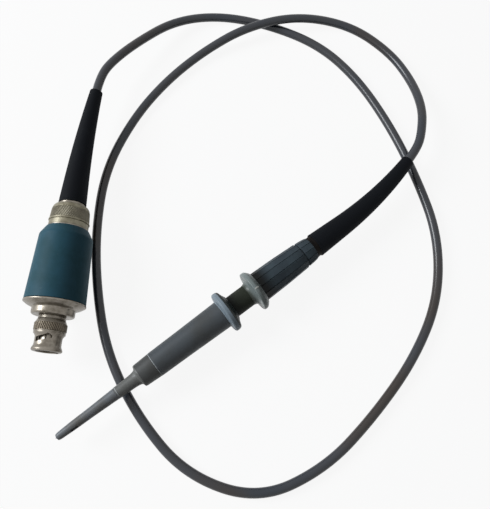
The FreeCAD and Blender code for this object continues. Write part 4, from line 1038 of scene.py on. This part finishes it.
@dataclass
class CompensationBox(Assembly):
    """The box: turned base, painted barrel, lock nut and boot."""

    rules: Rules
    axis: Axis = BOX_AXIS
    rim: float = 13.9
    lock_front: float = 57.5
    boot: Bend = Bend(69.6, 9.7, 51.5, -4.5)
    boot_base: float = 6.45
    boot_end: float = 3.1
    core_length: float = 18.3

    def build(self) -> None:
        """Builds and dresses the box."""
        self.make_base()
        self.make_barrel()
        self.make_lock_nut()
        self.set_boot("box", self.boot, self.boot_base, self.boot_end, self.core_length)
        self.dress_nodes({
            "comp_stator": BRASS, "comp_rotor": BRASS, "comp_dielectric": INSULATOR,
            "comp_resistor": RESISTOR, "box_stem": NICKEL, "lock_washer": NICKEL,
            "box_ferrule": BRASS})

    def make_base(self) -> None:
        """The nickel base with its neck, step, flare and rim."""
        wall = turned("box_base", [
            (14.35, 4.0), (14.35, 5.97, 0.1), (15.75, 5.97, 0.1), (15.95, 5.8), (15.95, 9.6, 1.0, 6),
            (19.0, 9.6, 0.25), (19.35, 10.1, 0.3), (20.05, 12.1, 1.9, 8), (21.05, 13.5, 0.5, 4),
            (21.25, self.rim, 0.25, 4), (21.95, self.rim, 0.15), (22.0, 12.9), (22.65, 10.9),
            (27.65, 10.9, 0.15), (27.65, 4.5), (19.15, 4.5), (19.15, 1.0), (17.95, 1.0), (17.95, 4.0)], 160)
        beaded = self.rules.rings.run(wall, NICKEL.build(self.axis), count=2, first=14.6, pitch=0.7,
                                      ring_radius=5.92, wire_radius=0.23)
        self.set_piece("box_base_turned", beaded, NICKEL, Body.MAIN, "box_base")

    def make_barrel(self) -> None:
        """The painted barrel, hollow, with its bevelled shoulder."""
        self.turn_piece("barrel_painted", BARREL_PAINT, Body.BARREL, 160, [
            (22.95, 11.0), (22.25, 13.0), (22.15, 13.72, 0.25, 4), (52.85, 12.2, 0.6, 5),
            (56.95, 9.7, 0.25), (56.95, 6.1, 0.1), (54.55, 6.1), (54.55, 8.95), (51.65, 11.0)],
            "box_barrel")

    def make_lock_nut(self) -> None:
        """The lock nut: plain ring with two grooves, diagonal knurl and top band."""
        front = self.lock_front
        rows = 44
        start, length, foot, taper = 61.05, 5.0, 9.15, 0.45
        face = [(start + length * row / rows, foot - taper * row / rows) for row in range(1, rows)]
        blank = turned("lock_nut_knurled", [
            (front, 6.1), (front, 9.0, 0.2), (front + 0.4, 9.15, 0.2), (59.85, 9.1, 0.12), (59.95, 8.9),
            (60.1, 8.9), (60.2, 9.42, 0.25), (60.8, 9.42, 0.25), (60.85, 9.0), (61.0, 9.0), (61.05, 9.1),
            *face, (66.1, 8.65), (66.15, 8.4), (66.25, 8.6, 0.1), (67.4, 8.3, 0.7, 5), (68.3, 7.5, 0.3, 4),
            (68.3, 6.1, 0.1)], 544)
        knurled = self.rules.knurl.run(blank, AGED_NICKEL.build(self.axis), **AGED_NICKEL.sizes(),
                                       depth=0.26, bore=8.5, fade=0.25)
        self.set_piece("lock_nut_knurled", knurled, AGED_NICKEL, Body.LOCK_NUT, "lock_nut")


@dataclass
class HookTip(Assembly):
    """The sliding tip: nose, its flared base, the collar and the sleeve with its flange."""

    axis: Axis = PROBE_AXIS
    flange: float = 10.0
    slot_start: float = 6.3
    slot_end: float = 9.9
    slot_half: float = 0.65
    slot_height: float = 1.6
    spring_foot: float = 75.0
    spring_keep: float = 0.4

    def build(self) -> None:
        """Builds and dresses the tip."""
        self.make_nose()
        self.make_sleeve()
        self.dress_nodes({
            "hook": SPRING_STEEL, "hook_rod": SPRING_STEEL, "tip_spring": SPRING_STEEL,
            "retaining_ring": BRASS, "contact_socket": GOLD})
        self.give_way("tip_spring", "sleeve_slide", self.spring_foot, self.spring_keep)

    def make_nose(self) -> None:
        """The light nose with the hook's slot in its side, its flared rear part and both seams, their pale
        colour a painted highlight.
        """
        wall = turned("nose", [
            (0.0, 0.95, 0.05), (0.0, 1.35, 0.35, 4), (1.0, 1.68, 0.5, 4), (2.4, 1.76, 0.8, 4),
            (8.0, 2.025, 1.0), (17.2, 2.2, 2.0, 4), (30.4, 2.68), (30.5, 2.6), (30.5, 2.0), (26.0, 2.0),
            (26.0, 1.3), (12.4, 1.3), (12.4, 0.95)], 96)
        start, end, outside, inside = self.slot_start, self.slot_end, -4.0, -1.0
        slot = prism([(start, outside), (end, outside), (end, inside), (start, inside)],
                     -self.slot_half, self.slot_height)
        self.set_piece("nose_slotted", carved(wall, [slot]), NOSE, Body.TIP, "nose_tip")
        self.turn_piece("nose_flare", NOSE_REAR, Body.TIP, 112, [
            (26.0, 1.3), (26.0, 2.0), (30.5, 2.0), (30.5, 2.6), (30.6, 2.75), (39.0, 3.05, 1.0),
            (40.7, 3.25, 0.3), (42.25, 3.7, 1.5, 8), (42.7, 5.2, 0.12), (43.3, 5.42, 0.1),
            (43.3, 4.7), (54.0, 4.7), (54.0, 4.0), (43.3, 4.0), (43.3, 1.3)], "nose_base")
        half, depth = 0.12, 0.25
        # Raised seams whose pale colour is a painted highlight along each one.
        for name, at, radius in (("nose_seam", 31.2, 2.81), ("sleeve_seam", 51.12, 5.89)):
            self.turn_piece(name, SEAM_HIGHLIGHT, Body.TIP, 112, [
                (at - half, radius - depth), (at - half, radius - 0.03, 0.03), (at, radius + 0.02, 0.05),
                (at + half, radius - 0.03, 0.03), (at + half, radius - depth)])

    def make_sleeve(self) -> None:
        """The dark collar, the sleeve with its front bevel and the front finger flange."""
        self.turn_piece("collar_ring", COLLAR, Body.TIP, 112, [
            (43.3, 4.7), (43.3, 5.45, 0.1), (51.1, 5.84, 0.08), (51.1, 4.75), (49.9, 4.75),
            (49.9, 4.7)], "nose_collar")
        self.turn_piece("sleeve_turned", SLEEVE, Body.TIP, 144, [
            (49.9, 4.7), (51.15, 4.75), (51.15, 5.7, 0.1), (51.35, 5.9, 0.12), (66.8, 6.15, 2.0, 4),
            (88.3, 6.64), (88.3, 5.25), (60.0, 5.25), (60.0, 3.1), (58.0, 3.1), (58.0, 4.0), (54.0, 4.0),
            (54.0, 4.7)], "tip_sleeve")
        self.turn_piece("front_flange", FLANGE, Body.TIP, 144, [
            (88.3, 5.25), (88.3, 6.64), (88.6, 6.9, 0.3), (88.95, 9.4, 0.4, 4),
            (89.45, self.flange, 0.45, 4), (91.05, self.flange, 0.3, 4),
            (92.1, self.flange - 0.45, 0.5, 4), (92.9, 7.2, 1.4, 7), (93.7, 5.95, 0.25),
            (93.7, 5.25, 0.1)])


@dataclass
class ProbeBody(Assembly):
    """The fixed probe body: guide, finger guard, faceted grip, gland and boot."""

    rules: Rules
    axis: Axis = PROBE_AXIS
    sides: int = 12
    corner_turn: float = 103.4
    groove_width: float = 0.35
    groove_depth: float = 0.3
    guard: float = 9.9
    mark_angle: float = 97.0
    boot: Bend = Bend(142.5, 16.0, 48.5, 15.0)
    boot_base: float = 5.8
    boot_end: float = 3.1
    core_length: float = 10.0

    def build(self) -> None:
        """Builds and dresses the body."""
        self.make_guide()
        self.make_mark()
        self.make_grip()
        self.set_boot("probe", self.boot, self.boot_base, self.boot_end, self.core_length)
        self.dress_nodes({
            "body_tube": BRASS, "front_insulator": INSULATOR, "contact_pin": GOLD,
            "attenuator_resistor": RESISTOR, "attenuator_capacitor": INSULATOR,
            "probe_ferrule": BRASS})

    def make_guide(self) -> None:
        """The guide that the sleeve slides on, and the rear finger flange."""
        self.turn_piece("guide_core", CORE, Body.MAIN, 112, [
            (54.5, 2.0), (54.5, 3.0, 0.1), (56.95, 3.0), (56.95, 2.6), (57.95, 2.6), (57.95, 3.0),
            (75.0, 3.0), (75.0, 5.15, 0.2), (102.9, 5.15, 0.05), (102.9, 3.7), (91.9, 3.7), (91.9, 2.0)],
            "tip_core")
        self.turn_piece("finger_flange", GUARD, Body.MAIN, 144, [
            (102.9, 4.5), (102.9, 5.25), (105.1, 5.7, 2.2, 9), (105.35, 9.5, 0.4, 4),
            (105.65, self.guard, 0.3, 4), (107.1, self.guard, 0.5, 5), (107.9, 9.3, 0.6, 5),
            (109.0, 8.1, 0.3), (109.0, 4.5)], "finger_guard")

    def make_mark(self) -> None:
        """The short pale index line on the rear flange's bevel."""
        half, proud, sunk = math.radians(2.0), 0.13, -0.1
        path = [(105.9, self.guard), (107.05, 9.85), (107.9, 9.25)]
        rings = []
        for at, radius in path:
            ring = []
            for lift, side in ((proud, -half), (proud, half), (sunk, half), (sunk, -half)):
                angle = math.radians(self.mark_angle) + side
                reach = radius + lift
                ring.append(Vector((at + lift * 0.6, reach * math.cos(angle), reach * math.sin(angle))))
            rings.append(ring)
        self.set_piece("index_mark", skin("index_mark", rings, ends=True), MARK, Body.MAIN)

    def make_grip(self) -> None:
        """The faceted grip, its nut behind the ring groove and the dark ring before the boot."""
        parts = (
            ("grip_faceted", "grip_body", 108.0, 135.0, [
                (109.0, 4.5), (109.0, 7.3, 0.12), (115.0, 7.162), (121.5, 7.025, 2.0, 5),
                (128.0, 6.71), (133.9, 6.42), (134.2, 6.2, 0.1), (134.2, 4.5)]),
            ("grip_rear_faceted", "grip_nut", 134.7, 141.0, [
                (134.2, 4.5), (134.2, 5.6), (134.8, 5.6), (134.8, 6.1, 0.12), (135.1, 6.24),
                (138.6, 5.95, 0.8, 4), (140.3, 5.6, 0.3, 4), (140.3, 4.5)]),
        )
        for name, node, start, end, spots in parts:
            grip = self.rules.facets.run(
                turned(name, spots, 480), GRIP.build(self.axis), sides=self.sides,
                turn=math.radians(self.corner_turn), groove_width=self.groove_width,
                groove_depth=self.groove_depth, groove_start=start, groove_end=end, bore=5.0)
            self.set_piece(name, grip, GRIP, Body.MAIN, node)
        self.turn_piece("gland_turned", GLAND, Body.MAIN, 96, [
            (140.3, 4.5), (140.3, 5.4, 0.1), (141.4, 5.15, 0.6, 4), (142.5, 5.4, 0.1), (142.5, 4.5)],
            "gland_ring")


@dataclass
class Lead(Assembly):
    """The free coaxial lead, from the box's boot to the probe's.

    A point of its route without a height lies on the table.
    """

    diameter: float = 4.4
    length: float = 878.0
    lying: float = 2.25
    route: tuple[tuple[float, ...], ...] = (
        (-71.88, 83.38, 13.9), (-71.2, 91.8, 13.9), (-67.5, 100.7, 13.6), (-56.8, 115.4, 11.0),
        (-39.4, 134.7, 5.6), (-15.7, 142.6), (12.3, 138.6), (39.6, 128.1), (60.3, 109.2), (77.8, 82.9),
        (91.3, 55.2), (101.8, 26.0), (101.8, -6.0), (90.8, -34.8), (72.8, -62.0), (52.4, -85.7),
        (24.1, -101.2), (-8.3, -93.6), (-31.9, -71.7), (-49.9, -44.9), (-59.4, -14.7), (-64.4, 15.4),
        (-64.3, 46.9), (-53.8, 77.2), (-39.4, 100.5), (-21.6, 119.2, 3.2), (-0.3, 132.8, 7.3),
        (26.3, 142.1, 7.3), (55.3, 142.3), (77.1, 126.9), (88.3, 109.2, 4.0), (92.8, 91.2, 8.3),
        (91.9, 76.2, 10.0), (89.6, 67.2, 10.2), (85.1, 60.16, 10.2))

    def build(self) -> None:
        curve = bpy.data.curves.new("lead", "CURVE")
        curve.dimensions = "3D"
        spline = curve.splines.new("NURBS")
        spline.points.add(len(self.route) - 1)
        for point, place in zip(spline.points, self.route):
            across, deep, high = (*place, self.lying)[:3]
            point.co = (across * MM, deep * MM, high * MM, 1.0)
        spline.order_u = 3
        spline.use_endpoint_u = True
        spline.resolution_u = 16
        spline.use_smooth = True
        curve.bevel_depth = self.diameter / 2 * MM
        curve.bevel_resolution = 8
        curve.use_fill_caps = True
        curve.materials.append(JACKET.build(WORLD_AXIS))
        piece = linked("lead", curve)
        self.join_frame(piece, JACKET, Body.MAIN, "cable")


@dataclass
class Studio:
    """The pale floor, the white surroundings, soft light from the left and the camera."""

    camera_place: tuple[float, float, float] = (16.08, -74.75, 278.94)
    right: tuple[float, float, float] = (0.9966, 0.0829, 0.0)
    up: tuple[float, float, float] = (-0.0794, 0.9545, 0.2874)
    back: tuple[float, float, float] = (0.0238, -0.2864, 0.9578)
    lens: float = 42.44
    world_light: float = 0.1
    key_power: float = 11.5
    key_place: tuple[float, float, float] = (-0.95, 0.12, 0.62)
    key_size: float = 0.5
    key_colour: Colour = (0.94, 0.97, 1.0)
    floor_light: float = 0.91
    floor_half: float = 2.0
    paper_grey: float = 0.95
    bounce_grey: float = 0.22

    def build(self) -> None:
        """Sets everything up."""
        self.make_floor()
        self.make_world()
        self.make_light()
        self.make_camera()

    def seen(self, graph: Graph) -> Value:
        """One for rays of the camera, of gloss and of glass, and nothing for the rest."""
        path = graph.node("ShaderNodeLightPath")
        camera, glossy, glass = (graph.out(path, name) for name in (
            "Is Camera Ray", "Is Glossy Ray", "Is Transmission Ray"))
        return graph.math("MINIMUM", camera + glossy + glass, 1.0)

    def make_floor(self) -> None:
        """The floor: white to the camera but for the object's shadow, and grey to bounced light."""
        half = self.floor_half
        mesh = bpy.data.meshes.new("floor")
        mesh.from_pydata([(-half, -half, 0), (half, -half, 0), (half, half, 0), (-half, half, 0)],
                         [], [(0, 1, 2, 3)])
        material = bpy.data.materials.new("pale_floor")
        material.use_nodes = True
        graph = Graph(material.node_tree)
        glow = graph.value("ShaderNodeEmission", {"Color": (1, 1, 1, 1), "Strength": 1.0})
        paper, dim = (graph.value("ShaderNodeBsdfDiffuse", {"Color": (grey, grey, grey, 1)})
                      for grey in (self.paper_grey, self.bounce_grey))
        white = graph.value("ShaderNodeMixShader", {0: self.floor_light, 1: paper, 2: glow})
        mixed = graph.value("ShaderNodeMixShader", {0: self.seen(graph), 1: dim, 2: white})
        graph.node("ShaderNodeOutputMaterial", {"Surface": mixed})
        mesh.materials.append(material)
        linked("floor", mesh)

    def make_world(self) -> None:
        """White to the camera, and a low even light."""
        world = bpy.data.worlds.new("studio")
        world.use_nodes = True
        graph = Graph(world.node_tree)
        strength = self.world_light + self.seen(graph) * (1 - self.world_light)
        glow = graph.value("ShaderNodeBackground", {"Color": (1, 1, 1, 1), "Strength": strength})
        graph.node("ShaderNodeOutputWorld", {"Surface": glow})
        bpy.context.scene.world = world

    def make_light(self) -> None:
        """One soft lamp, low on the left."""
        light = bpy.data.lights.new("key", "AREA")
        light.energy = self.key_power
        light.size = self.key_size
        light.color = self.key_colour
        lamp = linked("key", light)
        lamp.location = self.key_place
        lamp.rotation_euler = (-Vector(self.key_place)).to_track_quat("-Z", "Y").to_euler()

    def make_camera(self) -> None:
        """The camera where the photograph was taken from."""
        data = bpy.data.cameras.new("camera")
        data.lens = self.lens
        data.sensor_width = 36.0
        data.clip_start = 0.01
        camera = linked("camera", data)
        columns = Matrix((self.right, self.up, self.back)).transposed()
        camera.matrix_world = Matrix.Translation(Vector(self.camera_place) * MM) @ columns.to_4x4()
        bpy.context.scene.camera = camera
        bpy.context.scene.view_settings.view_transform = "Standard"


def main() -> None:
    """Builds the probe from its studio and lead to its tip."""
    logging.basicConfig(level=logging.INFO, format="%(message)s")
    Studio().build()
    Lead().build()
    rules = Rules(Knurl(), Facets(), RingRow())
    BayonetPlug(rules).build()
    CompensationBox(rules).build()
    ProbeBody(rules).build()
    HookTip().build()


if __name__ == "__main__":
    main()
